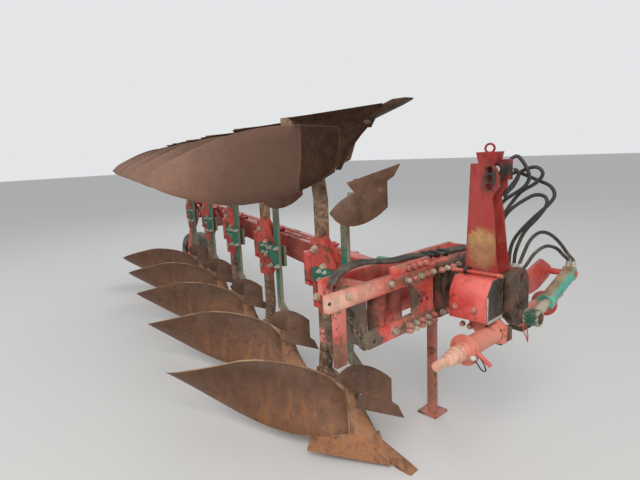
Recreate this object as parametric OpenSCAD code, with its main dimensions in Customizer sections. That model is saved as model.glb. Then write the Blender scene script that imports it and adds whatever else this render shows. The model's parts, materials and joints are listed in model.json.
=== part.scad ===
// Mounted reversible mouldboard plough with five pairs of bodies.
// X points forward, Y to the left, Z up. The floor is at Z = 0.
// Places are first written from the point of the first lower body,
// and the whole plough is then moved so that its box is centred on the origin.

/* [Layout] */
// Number of furrows
furrows = 5; // [3:1:6]
// Distance between bodies along the line of travel
body_spacing = 950; // [850:10:1050]
// Distance between bodies across the line of travel, at the narrow setting
furrow_w = 326; // [300:2:350]
// Height of the main beam's centre line above the points
beam_z = 908; // [860:2:960]

/* [Main beam] */
// Height of the beam's box section
beam_h = 160; // [130:2:180]
// Width of the beam's box section
beam_w = 110; // [90:2:120]
// Wall of the beam's box section
beam_wall = 10; // [6:1:14]
// Distance from the beam's centre line to the line of the pivots
pivot_off = 200; // [195:1:215]
// Radius of the pivot pins
pivot_r = 20; // [14:1:24]
// Outer radius of the pivot barrels
barrel_r = 42; // [34:1:48]
// Thickness of the ears
ear_t = 20; // [14:1:24]

/* [Bodies] */
// Thickness of the mouldboard
board_t = 8; // [6:1:10]
// Height of the mouldboard's crest
crest_z = 476; // [455:1:490]
// Distance from the point back to the crest
crest_x = 884; // [850:2:910]
// Distance from the point back to the tail
tail_x = 1385; // [1350:1:1400]
// Thickness of the share
share_t = 12; // [9:1:14]
// Width of the chisel point
point_w = 62; // [50:1:70]
// Thickness of the landside
landside_t = 14; // [10:1:18]

/* [Legs] */
// Depth of the leg along the line of travel
leg_d = 86; // [70:1:95]
// Thickness of the leg
leg_t = 32; // [26:1:36]
// Thickness of the plates on both sides of the leg
plate_t = 12; // [8:1:14]

/* [Skimmers] */
// Depth of the skimmer's stalk along the line of travel
stalk_d = 44; // [36:1:50]
// Thickness of the skimmer's stalk
stalk_t = 24; // [22:1:30]
// Thickness of the skimmer's board
skim_t = 6; // [5:1:8]

/* [Front frame] */
// Height of the frame's flat bars
bar_h = 70; // [60:1:74]
// Thickness of the frame's flat bars
bar_t = 28; // [20:1:32]
// Height of the bars' centre lines above and below the beam's
bar_off = 110; // [100:1:116]
// Distance between the front and rear bars
bar_gap = 200; // [180:2:220]
// Right end of the upper front bar
frame_right = -584; // [-600:2:-570]
// Right end of the lower front bar
lower_right = -355; // [-380:5:-330]
// Right end of the rear bars
rear_right = -420; // [-450:5:-390]
// Left end of the frame
frame_left = 640; // [600:5:700]

/* [Headstock] */
// Place of the turnover shaft to the left of the first point
turn_y = 294; // [270:2:320]
// Radius of the turnover shaft
turn_r = 50; // [40:1:56]
// Outer radius of the turnover housing
housing_r = 92; // [84:1:100]
// Height of the cross shaft's centre line
cross_z = 768; // [758:1:776]
// Radius of the cross shaft
cross_r = 42; // [34:1:44]
// Distance between the lower-link shoulders, category 3N
shoulder_w = 825; // [780:5:870]
// Radius of the lower-link pins, category 3N
link_pin_r = 18.3; // [14:0.1:19]
// Height from the lower-link pins to the top-link bore
mast_h = 680; // [640:5:720]
// Distance between the top-link bores
bore_step = 38; // [36:1:46]
// Radius of the top-link bores
top_bore_r = 16; // [12.5:0.1:17]
// Gap between the tower's plates at the top
top_gap = 53; // [52:1:60]
// Thickness of the tower's plates
tower_t = 14; // [10:1:18]

/* [Turnover cylinder] */
// Radius of the crank that the cylinder turns
crank_r = 91; // [80:1:95]
// Outer radius of the cylinder's barrel
turn_barrel_r = 36; // [32:1:40]
// Radius of the cylinder's rod
turn_rod_r = 24; // [16:1:26]

/* [Depth wheel] */
// Radius of the depth wheel's tyre
wheel_r = 270; // [250:1:290]
// Width of the depth wheel's tyre
wheel_w = 190; // [150:2:200]
// Height of the wheel's foot above the points
wheel_foot = 0; // [0:2:120]

/* [Stand] */
// Side of the stand's square tube
stand_w = 45; // [36:1:55]
// Side of the stand's foot plate
foot_w = 130; // [100:5:150]

/* [Hidden] */
$fn = 48;
run_gap = 0.1;
seat_gap = 0.3;
eps = 0.01;
rust = [0.36, 0.2, 0.13];
red = [0.75, 0.13, 0.1];
green = [0.1, 0.35, 0.25];
steel = [0.45, 0.43, 0.4];
black = [0.05, 0.05, 0.05];

// The surface of the mouldboard: how far right it lies at a place x and a height z
function lead_x(z) = -(69.7 + 2.183 * z - 0.004435 * z * z + 0.000004293 * z * z * z);
function turn_out(z) = 0.8617 + 0.001233 * z;
function board_y(x, z) = let(d = lead_x(z) - x) -(turn_out(z) * d - 0.0006435 * d * d);
// The upper and lower edges of the mouldboard, and where its front edge starts and how far it leans back
front_drop = 134.6;
tail_drop = 147;
tail_low = 263;
front_x = 357;
seam_lean = 117;
low_z = 79;
low_start = 595;
share_end = 525;
share_rise = 0.12;
function top_z(x) = -x < crest_x
    ? crest_z - front_drop * pow((crest_x + x) / (crest_x - 500), 2)
    : crest_z - tail_drop * pow((-x - crest_x) / (tail_x - crest_x), 1.1);
function share_line(x) = low_z + max(0, share_end + x) * share_rise;
function bottom_z(x) = share_line(x) +
    (tail_low - low_z) * pow(max(0, -x - low_start) / (tail_x - low_start), 1.86);

// The mouldboard's grid, from its front edge to its tail and from its lower edge to its upper edge
board_nu = 15;
board_nv = 6;
function lerp(a, b, t) = a + (b - a) * t;
function board_x(i, j) = lerp(-(front_x + seam_lean * j / board_nv), -tail_x, i / board_nu);

// Places, from the point of the first lower body
beam_a = atan(furrow_w / body_spacing);
beam_dir = [-cos(beam_a), sin(beam_a)];
beam_left = [sin(beam_a), cos(beam_a)];
pivot_1 = [-860, 134];
leg_rel = [167, -56];
stalk_rel = [515, -229];
leg_1_at = pivot_1 + leg_rel;
stalk_1_at = pivot_1 + stalk_rel;
station_len = sqrt(body_spacing * body_spacing + furrow_w * furrow_w);
axis_1 = pivot_1 + pivot_off * beam_left;
bar_x = 0;
rear_bar_x = bar_x - bar_gap;
main_pivot_x = -330;
main_pivot_t = (main_pivot_x - axis_1[0]) / beam_dir[0];
main_pivot = axis_1 + main_pivot_t * beam_dir;
beam_start = main_pivot_t + 66;
beam_end = (furrows - 1) * station_len + 70;

// Turnover shaft, cross shaft and cylinder
housing_x0 = 62;
housing_x1 = 330;
disc_x = 338;
disc_t = 34;
disc_r = 91;
disc_reach = 135;
cross_x = 322;
crank_dir = -81;
crank_at = [turn_y + crank_r * cos(crank_dir), beam_z + crank_r * sin(crank_dir)];
cyl_pin = [728, 938];
cyl_x = disc_x + disc_t + 56;
cyl_vec = crank_at - cyl_pin;
cyl_len = sqrt(cyl_vec[0] * cyl_vec[0] + cyl_vec[1] * cyl_vec[1]);
cyl_ang = atan2(cyl_vec[1], cyl_vec[0]);

// Width cylinder
width_pin = [-300, 520];
width_lug = [-800, 470];
width_vec = width_lug - width_pin;
width_len = sqrt(width_vec[0] * width_vec[0] + width_vec[1] * width_vec[1]);
width_ang = atan2(width_vec[1], width_vec[0]);

// Depth wheel and stand
wheel_z = wheel_foot + wheel_r;
beam_tip = axis_1 + beam_end * beam_dir;
arm_pivot_x = beam_tip[0] - 130;
arm_t = 22;
arm_y = beam_tip[1] - 86;
wheel_at = [arm_pivot_x - 210, arm_y + arm_t + 14 + wheel_w / 2];
stand_at = [-262, 540];
stand_top = beam_z - bar_off - bar_h / 2 - 48;

// The whole plough's box
nose_x = cyl_x + turn_barrel_r + 5;
rear_x = wheel_at[0] - wheel_r;
left_y = wheel_at[1] + wheel_w / 2;
right_y = max(concat([-frame_right], [for (i = [0:board_nu]) let(x = board_x(i, board_nv)) -board_y(x,
    top_z(x))]));
mid_x = (nose_x + rear_x) / 2;
mid_y = (left_y - right_y) / 2;

// A curved plate between two edges, from a grid of points with a thickness
module grid_plate(pts, nu, nv, back) {
    n = (nu + 1) * (nv + 1);
    front = [for (r = pts) for (p = r) p];
    all = concat(front, [for (p = front) p + back]);
    function id(i, j) = i * (nv + 1) + j;
    sheet = [for (i = [0:nu - 1]) for (j = [0:nv - 1])
        for (f = [[id(i, j), id(i + 1, j), id(i + 1, j + 1)], [id(i, j), id(i + 1, j + 1), id(i, j
            + 1)]]) f];
    rear = [for (f = sheet) [f[0] + n, f[2] + n, f[1] + n]];
    ring = concat([for (i = [0:nu - 1]) id(i, 0)], [for (j = [0:nv - 1]) id(nu, j)],
        [for (i = [nu:-1:1]) id(i, nv)], [for (j = [nv:-1:1]) id(0, j)]);
    m = len(ring);
    edge = [for (k = [0:m - 1]) let(a = ring[k], b = ring[(k + 1) % m])
        for (f = [[a, b + n, b], [a, a + n, b + n]]) f];
    polyhedron(all, concat(sheet, rear, edge), convexity = 6);
}

// Puts children at each body of a station: the lower one and its mirror image above the beam
module both_ways() {
    children();
    translate([0, 0, 2 * beam_z]) mirror([0, 0, 1]) children();
}
module at_station(i) {
    translate([-(i - 1) * body_spacing, (i - 1) * furrow_w, 0]) children();
}

// One body, from its point
back_a = 31;
board_back = board_t * [-sin(back_a), cos(back_a), 0];
module mouldboard() {
    pts = [for (i = [0:board_nu]) [for (j = [0:board_nv])
        let(x = board_x(i, j), z = lerp(bottom_z(board_x(i, 0)), top_z(board_x(i, board_nv)), j / board_nv))
        [x, board_y(x, z), z]]];
    grid_plate(pts, board_nu, board_nv, board_back);
}
// Ribs behind the mouldboard, up to the frog, and its rear stay
module back_rib(z, x0, x1) {
    translate([0, 0, z]) linear_extrude(12) polygon(concat([for (i = [0:6]) let(x = lerp(x0, x1, i / 6))
        [x, board_y(x, z + 6) + 5]], [[x1, frog_y0 - seat_gap], [x0, frog_y0 - seat_gap]]));
}
module board_stay() {
    from = [-745, 6, 252];
    to = [-1085, board_y(-1085, 262) + 10, 262];
    d = to - from;
    translate(from) rotate([0, acos(d[2] / norm(d)), atan2(d[1], d[0])]) cylinder(r = 12, h = norm(d));
}
// The seam between the mouldboard and the shin leans back as it rises
seam_z0 = share_line(-front_x);
seam_z1 = top_z(-front_x - seam_lean);
function seam_x(z) = 2 - front_x - seam_lean * (z - seam_z0) / (seam_z1 - seam_z0);
shin_z1 = seam_z1 - 12;
module shin() {
    pts = [for (i = [0:2]) let(u = i / 2, z0 = share_line(lerp(share_nose, -front_x, u)) - 4)
        [for (j = [0:6]) let(z = lerp(z0, shin_z1, j / 6), x = lerp(lead_x(z), seam_x(z), u))
        [x, board_y(x, z), z]]];
    grid_plate(pts, 2, 6, board_back);
}
// The share's cutting edge rises towards the rear, and its upper edge meets the mouldboard and the shin
share_nose = -252;
module share() {
    function on_line(x) = [x, board_y(x, share_line(x) - 1), share_line(x) - 1];
    face = [[-112, -72, 14], [-482, -306, 52], on_line(-share_end), on_line(-450), on_line(-front_x),
        on_line(share_nose)];
    back = share_t * [-0.35, 0.94, 0];
    polyhedron(concat(face, [for (p = face) p + back]), concat([[0, 1, 2], [0, 2, 3], [0, 3, 4], [0, 4, 5],
        [6, 8, 7], [6, 9, 8], [6, 10, 9], [6, 11, 10]], [for (k = [0:5]) let(m = (k + 1) % 6)
        for (f = [[k, k + 6, m + 6], [k, m + 6, m]]) f]));
}
module chisel_point() {
    translate([0, point_w / 2 - 20, 0]) rotate([90, 0, 0]) linear_extrude(point_w)
        polygon([[0, 0], [-70, 0], [-335, 76], [-352, 98], [-330, 104], [-60, 26], [-8, 8]]);
}
module landside() {
    translate([-930, 16, 14]) cube([560, landside_t, 105]);
}
frog_y0 = 30;
module frog() {
    translate([0, frog_y0 + 50, 0]) rotate([90, 0, 0]) linear_extrude(50)
        polygon([[-330, 60], [-400, 150], [-450, 262], [-640, 330], [-740, 330], [-760, 240],
            [-640, 140], [-560, 60]]);
}
leg_mid = [leg_1_at[0], leg_1_at[1]];
module leg_half() {
    x0 = leg_mid[0];
    translate([0, leg_mid[1] + leg_t / 2, 0]) rotate([90, 0, 0]) linear_extrude(leg_t)
        polygon([[x0 - leg_d / 2 - 28, 250], [x0 + leg_d / 2 - 28, 250], [x0 + leg_d / 2 + 6, 480],
            [x0 + leg_d / 2, beam_z - 8], [x0 - leg_d / 2, beam_z - 8], [x0 - leg_d / 2 + 2, 480]]);
}
module leg(i) {
    color(rust) at_station(i) {
        both_ways() {
            leg_half();
            frog();
            landside();
        }
        leg_plates();
    }
}
plate_h = 210;
lever_len = 165;
lever_z = beam_z + beam_h / 2 + ear_t + 8;
lever_t = 12;
rod_t = 12;
module leg_plates() {
    color(red) {
        for (s = [-1, 1]) translate([leg_mid[0], leg_mid[1] + s * (leg_t / 2 + plate_t / 2)
            + plate_t / 2, beam_z])
            rotate([90, 0, 0]) linear_extrude(plate_t) polygon([[-68, plate_h], [34, plate_h], [136, 45],
                [136, -45], [34, -plate_h], [-68, -plate_h]]);
        station_arm();
    }
}
module station_arm() {
    arm_h = beam_h - 4;
    core_h = 120;
    out = leg_t / 2 + plate_t;
    pin_at = pivot_1 + lever_len * beam_left;
    difference() {
        union() {
            translate([pivot_1[0], pivot_1[1], beam_z - arm_h / 2]) cylinder(r = barrel_r, h = arm_h);
            translate([0, 0, beam_z - core_h / 2]) linear_extrude(core_h) polygon([pivot_1 - [0, barrel_r],
                leg_mid - [60, out], leg_mid - [leg_d / 2 + 2, leg_t / 2], leg_mid - [leg_d / 2
                    + 2, -leg_t / 2],
                leg_mid + [20, leg_t / 2], leg_mid + [20, out], pivot_1 + [0, barrel_r]]);
        }
        translate([pivot_1[0], pivot_1[1], beam_z - arm_h]) cylinder(r = pivot_r + run_gap, h = 2 * arm_h);
    }
    // Lever of the link rod, over the upper ear
    translate([0, 0, lever_z]) linear_extrude(lever_t) polygon([leg_mid + [-60, out - 1], leg_mid
        + [-8, out - 1],
        pin_at + [24, -6], pin_at + [14, 20], pin_at + [-16, 18], pin_at + [-24, -8]]);
    translate([pin_at[0], pin_at[1], lever_z]) cylinder(r = 10, h = lever_t + rod_t + 8);
}
module boards(i) {
    color(rust) at_station(i) both_ways() {
        mouldboard();
        back_rib(244, -452, -700);
        back_rib(300, -560, -700);
        board_stay();
    }
}
module shares(i) {
    color(rust) at_station(i) both_ways() {
        share();
        chisel_point();
        shin();
    }
}

// Skimmers and their stalk
skim_x0 = -110;
skim_x1 = -288;
skim_crest = -222;
skim_heel = -208;
function skim_y(x) = -48 - 1.15 * (skim_x0 - x);
function skim_top(x) = x > skim_crest ? 564 - 82 * pow((x - skim_crest) / (skim_x0 - skim_crest), 2)
    : 564 - 62 * pow((skim_crest - x) / (skim_crest - skim_x1), 2.6);
function skim_low(x) = 360 + 0.54 * (skim_x0 - max(x, skim_heel)) +
    80 * pow(max(0, skim_heel - x) / (skim_heel - skim_x1), 1.8);
skim_back = [-0.755, 0.656, 0];
module skimmer_board() {
    pts = [for (i = [0:10]) [for (j = [0:2])
        let(x = lerp(skim_x0, skim_x1, i / 10), z = lerp(skim_low(x), skim_top(x), j / 2))
        [x, skim_y(x), z]]];
    grid_plate(pts, 10, 2, skim_t * skim_back);
}
// The share's plane runs from its point to the board's lower edge
module skimmer_share() {
    face = [[-49, -30, 287], [-204, -220, 362], [skim_heel, skim_y(skim_heel), skim_low(skim_heel) + 1],
        [skim_x0, skim_y(skim_x0), skim_low(skim_x0) + 1], [-86, -30, 340]];
    pts = concat(face, [for (p = face) p + 8 * [-0.749, 0.403, -0.527]]);
    polyhedron(pts, [[0, 1, 2], [0, 2, 3], [0, 3, 4], [5, 7, 6], [5, 8, 7], [5, 9, 8], [0, 5, 6], [0, 6, 1],
        [1, 6, 7], [1, 7, 2], [2, 7, 8], [2, 8, 3], [3, 8, 9], [3, 9, 4], [4, 9, 5], [4, 5, 0]]);
}
stalk_foot_y = stalk_1_at[1] - stalk_t / 2 - seat_gap;
module skimmers(i) {
    color(rust) at_station(i) both_ways() {
        skimmer_board();
        skimmer_share();
        // Lug on the stalk's foot
        for (z = [430, 466]) translate([0, 0, z]) linear_extrude(10) polygon([[-182, skim_y(-182) + 3],
            [-240, skim_y(-240) + 3], [-306, stalk_foot_y], [-262, stalk_foot_y]]);
        translate([-212, skim_y(-212) + 3, 345]) rotate([0, 0, -41]) translate([-13, 0, 0])
            cube([10, 36, 130]);
    }
}
module stalk_half() {
    x0 = stalk_1_at[0];
    translate([0, stalk_1_at[1] + stalk_t / 2, 0]) rotate([90, 0, 0]) linear_extrude(stalk_t)
        polygon([[x0 - stalk_d / 2, beam_z + eps], [x0 + stalk_d / 2, beam_z + eps], [x0
            + stalk_d / 2, 580],
            [-262, 520], [-262, 415], [-310, 415], [-316, 490], [x0 - stalk_d / 2, 545]]);
}
module stalk(i) {
    color(green) at_station(i) {
        both_ways() stalk_half();
        left = stalk_1_at[1] + stalk_t / 2;
        plate_right = leg_mid[1] - leg_t / 2 - plate_t;
        pad = 22;
        // Clamp around the stalk and its bent arm to the leg's plates
        translate([stalk_1_at[0] - 50, left - stalk_t - pad, beam_z - 80]) cube([100, pad, 160]);
        translate([stalk_1_at[0] - 50, left, beam_z - 70]) cube([100, pad, 140]);
        translate([0, 0, beam_z - 40]) linear_extrude(80) polygon([[leg_mid[0] - 40, plate_right],
            [leg_mid[0] - 40, plate_right - pad], [leg_mid[0] + 70, plate_right - pad],
            [stalk_1_at[0] - 50, left + eps], [stalk_1_at[0] - 40, left + pad], [leg_mid[0]
                + 100, plate_right]]);
    }
}

// The main beam, its ears and its pins
module along_beam() {
    translate([axis_1[0], axis_1[1], 0]) rotate([0, 0, atan2(beam_dir[1], beam_dir[0])]) children();
}
module ear_pair(len) {
    for (s = [0, 1]) translate([0, 0, s == 0 ? beam_z + beam_h / 2 : beam_z - beam_h / 2 - ear_t])
        difference() {
            union() {
                cylinder(r = barrel_r, h = ear_t);
                translate([-barrel_r, -len, 0]) cube([2 * barrel_r, len, ear_t]);
            }
            translate([0, 0, -1]) cylinder(r = pivot_r, h = ear_t + 2);
        }
}
module main_beam() {
    color(red) {
        along_beam() {
            difference() {
                translate([beam_start, -beam_w / 2, beam_z - beam_h / 2])
                    cube([beam_end - beam_start, beam_w, beam_h]);
                translate([beam_start + 12, -beam_w / 2 + beam_wall, beam_z - beam_h / 2 + beam_wall])
                    cube([beam_end - beam_start - 24, beam_w - 2 * beam_wall, beam_h - 2 * beam_wall]);
            }
            for (i = [0:furrows - 1]) translate([i * station_len, pivot_off, 0]) {
                ear_pair(pivot_off - beam_w / 2 + 60);
                translate([0, 0, beam_z - beam_h / 2 - ear_t - 12]) cylinder(r = pivot_r, h = beam_h
                    + 2 * ear_t + 18);
            }
        }
        for (s = [-1, 1]) translate([0, 0, beam_z + s * 34 - 8]) linear_extrude(16) difference() {
            polygon([width_lug + [30, 10], width_lug + [10, 30], width_lug + [-24, 24], width_lug
                + [-44, -100],
                width_lug + [70, -100]]);
            translate(axis_1 + 300 * beam_dir) rotate(atan2(beam_dir[1], beam_dir[0]))
                square([3000, beam_w - 1], center = true);
        }
        translate([width_lug[0], width_lug[1], beam_z - 46]) cylinder(r = 14, h = 92);
        // Bracket and pin of the wheel's arm at the rear end
        translate([0, 0, beam_z - 40]) linear_extrude(80) polygon([beam_tip + 54 * beam_left
            - 20 * beam_dir,
            beam_tip - 54 * beam_left - 20 * beam_dir, [arm_pivot_x + 40, arm_y + arm_t + 5],
            [arm_pivot_x - 40, arm_y + arm_t + 5], [arm_pivot_x - 40, beam_tip[1] + 10]]);
        translate([arm_pivot_x, arm_y - 12, beam_z]) rotate([-90, 0, 0]) cylinder(r = 22, h = arm_t + 40);
        difference() {
            union() {
                translate([main_pivot[0], main_pivot[1], beam_z - beam_h / 2 + 10])
                    cylinder(r = 60, h = beam_h - 20);
                along_beam() translate([main_pivot_t + 10, -beam_w / 2, beam_z - beam_h / 2 + 10])
                    cube([beam_start - main_pivot_t - 10, beam_w, beam_h - 20]);
            }
            translate([main_pivot[0], main_pivot[1], beam_z - beam_h]) cylinder(r = 30
                + run_gap, h = 2 * beam_h);
        }
    }
}
module link_rod() {
    rod_off = pivot_off - lever_len;
    color(red) along_beam() difference() {
        translate([-40, rod_off - 18, lever_z + lever_t + 1]) cube([(furrows - 1) * station_len
            + 80, 36, rod_t]);
        for (i = [0:furrows - 1]) translate([i * station_len, rod_off, lever_z])
            cylinder(r = 10 + (i == 0 ? run_gap : 0.5), h = 60);
    }
}

// The front frame that swings with the turnover shaft
clamp_t = 14;
module front_frame() {
    color(red) {
        // Upper and lower bars: place along the plough, right end, side of the beam
        for (b = [[bar_x, frame_right, 1], [bar_x, lower_right, -1], [rear_bar_x, rear_right, 1],
            [rear_bar_x, rear_right, -1]])
            translate([b[0] - bar_t / 2, b[1], beam_z + b[2] * bar_off - bar_h / 2])
                cube([bar_t, frame_left - b[1], bar_h]);
        // Webs between the front and rear bars
        for (y = [lower_right + 10, frame_left - 40])
            translate([rear_bar_x + bar_t / 2 - eps, y, beam_z - bar_off - bar_h / 2])
                cube([bar_gap - bar_t + 2 * eps, 16, 2 * bar_off + bar_h]);
        // Guide that carries the hoses
        translate([bar_x - 80, 345, beam_z + bar_off + bar_h / 2 - eps]) cube([94, 50, 6 + eps]);
        // Post under the upper bar's end and post at the left end
        for (p = [[frame_right + 40, beam_z - 165], [frame_left - 60, beam_z - bar_off]])
            translate([bar_x - bar_t / 2 + 4, p[0], p[1]])
                cube([bar_t - 8, 62, beam_z + bar_off - bar_h / 2 + eps - p[1]]);
        // Barrels between the upper and lower front bars
        for (p = [[-50, -222, 42], [-54, -105, 46]])
            translate([bar_x + p[0], p[1], beam_z - bar_off]) cylinder(r = p[2], h = 2 * bar_off);
        // Clamp strips on the front bars, and the plate between them
        for (s = [1, -1]) translate([bar_x + bar_t / 2 - eps, -100, beam_z + s * bar_off - bar_h / 2 + 3])
            cube([clamp_t, turn_y - 165 + 100, bar_h - 6]);
        translate([bar_x + bar_t / 2 - eps, -54, beam_z - bar_off]) difference() {
            cube([clamp_t, 165, 2 * bar_off]);
            for (y = [50, 105]) translate([-1, y, bar_off + 10]) rotate([0, 90, 0])
                cylinder(r = 11, h = clamp_t + 2);
        }
        // Ears that hold the main pivot
        for (s = [0, 1]) translate([0, 0, s == 0 ? beam_z + beam_h / 2 - 8 : beam_z - beam_h / 2 - 14]) {
            translate([main_pivot[0], main_pivot[1], 0]) cylinder(r = 60, h = 22);
            translate([main_pivot[0], main_pivot[1] - 60, 0])
                cube([rear_bar_x - bar_t / 2 - main_pivot[0] + eps, 120, 22]);
        }
        translate([main_pivot[0], main_pivot[1], beam_z - beam_h / 2 - 30]) cylinder(r = 30, h = beam_h
            + 60);
        // Ears of the width cylinder
        for (s = [-1, 1]) translate([width_pin[0] - 32, width_pin[1] - 32, beam_z + s * 48 - 8])
            cube([rear_bar_x - bar_t / 2 - width_pin[0] + 32 + eps, 64, 16]);
        translate([rear_bar_x - bar_t / 2, width_pin[1] - 32, beam_z - bar_off])
            cube([bar_t, 64, 2 * bar_off]);
        translate([width_pin[0], width_pin[1], beam_z - 64]) cylinder(r = 14, h = 128);
        // Socket of the stand, with its pin
        for (dx = [-stand_w / 2 - 16, stand_w / 2 + 4])
            translate([stand_at[0] + dx, stand_at[1] - 34, stand_top - 30]) cube([12, 68, 70]);
        translate([stand_at[0] - stand_w / 2 - 16, stand_at[1] - 34, stand_top + 38])
            cube([rear_bar_x + bar_t / 2 - stand_at[0] + stand_w / 2 + 16, 68, 10 + eps]);
        translate([stand_at[0] - stand_w / 2 - 22, stand_at[1], stand_top]) rotate([0, 90, 0])
            cylinder(r = 8, h = stand_w + 44);
    }
}
module carriage() {
    color(red) {
        x0 = rear_bar_x + bar_t / 2 + seat_gap;
        x1 = bar_x - bar_t / 2 - seat_gap;
        translate([x0, turn_y - 150, beam_z - bar_off + bar_h / 2]) cube([x1 - x0, 300, 2 * bar_off
            - bar_h]);
    }
}
module turnover_shaft() {
    color(steel) {
        x0 = bar_x + bar_t / 2 + seat_gap;
        translate([x0, turn_y - 150, beam_z - bar_off - 20]) cube([28, 300, 2 * bar_off + 40]);
        translate([x0 + 20, turn_y, beam_z]) rotate([0, 90, 0]) cylinder(r = turn_r, h = disc_x - x0
            - 20 + eps);
        // Crank lever on the shaft's end, with its hub, its oval hole and the boss of the cylinder's pin
        translate([disc_x, turn_y, beam_z]) rotate([90, 0, 90]) linear_extrude(disc_t) difference() {
            union() {
                for (s = [-1, 1]) translate([0, s * (disc_reach - disc_r)]) circle(r = disc_r);
                square([2 * disc_r, 2 * (disc_reach - disc_r)], center = true);
            }
            for (z = [72, 92]) translate([12, z]) circle(r = 17);
            translate([12, 82]) square([34, 20], center = true);
        }
        translate([disc_x + disc_t - eps, turn_y, beam_z]) rotate([0, 90, 0]) {
            cylinder(r = 46, h = 8);
            cylinder(r = 30, h = 18, $fn = 6);
        }
        translate([disc_x + eps, crank_at[0], crank_at[1]]) rotate([0, 90, 0])
            cylinder(r = 30, h = cyl_x - 32 - seat_gap - disc_x);
    }
}

// The fixed headstock
side_y = 120;
side_t = 20;
block_z = beam_z + 40;
module headstock_housing() {
    color(steel) difference() {
        union() {
            translate([housing_x0, turn_y, beam_z]) rotate([0, 90, 0])
                cylinder(r = housing_r, h = housing_x1 - housing_x0);
            translate([150, turn_y - side_y, block_z]) cube([housing_x1 - 150, 2 * side_y, 62]);
            for (y = [turn_y - side_y + side_t, turn_y + side_y]) translate([0, y, 0]) rotate([90, 0, 0])
                linear_extrude(side_t) polygon([[150, block_z + 62], [housing_x1, block_z + 62],
                    [housing_x1, 805],
                    [cross_x + 62, 796], [cross_x + 62, cross_z - 30], [cross_x + 20, cross_z - 66],
                    [cross_x - 40, cross_z - 62], [cross_x - 70, cross_z], [150, beam_z - 60]]);
        }
        translate([0, turn_y, beam_z]) rotate([0, 90, 0]) cylinder(r = turn_r + run_gap, h = 600);
        translate([cross_x, -600, cross_z]) rotate([-90, 0, 0]) cylinder(r = cross_r + seat_gap, h = 2000);
    }
}
top_z_bore = cross_z + mast_h;
tower_x = 234;
tower_z0 = beam_z + 102 + seat_gap;
tower_z1 = top_z_bore + bore_step + 30;
bottom_gap = 110;
splay = atan((bottom_gap - top_gap) / 2 / (tower_z1 - tower_z0));
cap_half = 36;
holder_y = turn_y + top_gap / 2 + 30;
module tower() {
    tall = tower_z1 - tower_z0;
    color(red) difference() {
        union() {
            for (s = [-1, 1]) translate([0, turn_y + s * bottom_gap / 2, tower_z0])
                rotate([s * splay, 0, 0])
                translate([0, s > 0 ? tower_t : 0, 0]) rotate([90, 0, 0]) linear_extrude(tower_t)
                    polygon([[132, 0], [295, 0], [277, 90], [262, 275], [250, tall - 155], [262, tall
                        - 133],
                        [280, tall - 110], [280, tall - 65], [268, tall - 27], [245, tall], [140, tall]]);
            translate([132, turn_y - bottom_gap / 2 - tower_t, tower_z0]) cube([163, bottom_gap
                + 2 * tower_t, 12]);
            // Cap with its ring
            translate([0, turn_y + cap_half, tower_z1 - 4]) rotate([90, 0, 0]) linear_extrude(2 * cap_half)
                polygon([[178, 0], [252, 0], [266, 54], [164, 54]]);
            translate([214, turn_y, tower_z1 + 66]) rotate([90, 0, 20]) rotate_extrude()
                translate([20, 0]) circle(r = 5);
            // Holder of the hoses' couplings
            translate([256, holder_y - 28, tower_z1 - 78]) cube([41, 28, 92]);
        }
        for (k = [-1, 0, 1]) translate([tower_x, turn_y - 200, top_z_bore + k * bore_step])
            rotate([-90, 0, 0])
            cylinder(r = top_bore_r, h = 400);
    }
}
box_x1 = housing_x1 + 2;
box_t = 8;
module cover_box() {
    in_y = turn_y - side_y - seat_gap;
    roof = block_z + 70;
    shell = [[in_y, roof], [104, roof], [54, beam_z + 44], [54, beam_z - 72], [in_y, beam_z - 72]];
    color(red) {
        translate([150, 0, 0]) rotate([90, 0, 90]) linear_extrude(box_x1 - 150) polygon(concat(shell,
            [[in_y, beam_z - 72 + box_t], [54 + box_t, beam_z - 72 + box_t], [54 + box_t, beam_z + 41],
            [108, roof - box_t], [in_y, roof - box_t]]));
        translate([box_x1 - box_t, 0, 0]) rotate([90, 0, 90]) linear_extrude(box_t - eps) polygon(shell);
    }
}
// Lower-link pins on stub axles, each with its bracket, rimmed flange and ridged guide bush
bush_len = 130;
pin_len = 205;
module cross_shaft() {
    flange = shoulder_w / 2 - 14;
    color(red) for (s = [-1, 1]) translate([cross_x, turn_y, cross_z]) rotate([s * -90, 0, 0]) {
        translate([0, 0, side_y - side_t]) cylinder(r = cross_r, h = shoulder_w / 2 - side_y + side_t);
        translate([0, 0, flange]) cylinder(r = 66, h = 8);
        translate([0, 0, flange + 8 - eps]) cylinder(r = 54, h = 6);
        translate([0, 0, flange + 14 - eps]) rotate_extrude() polygon([[0, 0], [40, 0], [40, 9],
            [34, 13], [34, 30],
            [32, 34], [32, 52], [36, 56], [36, 64], [31, 68], [30, 100], [27, 104], [26, bush_len - 4],
            [22, bush_len], [0, bush_len]]);
        translate([0, 0, flange + 14]) cylinder(r = link_pin_r, h = pin_len);
        translate([0, 0, side_y + seat_gap]) linear_extrude(20) polygon([[-126, s * 20], [-126, s * -52],
            [-24, s * -58], [18, s * -58], [52, s * -30], [48, s * 44], [-37, s * 62], [-122, s * 0]]);
    }
}
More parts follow.
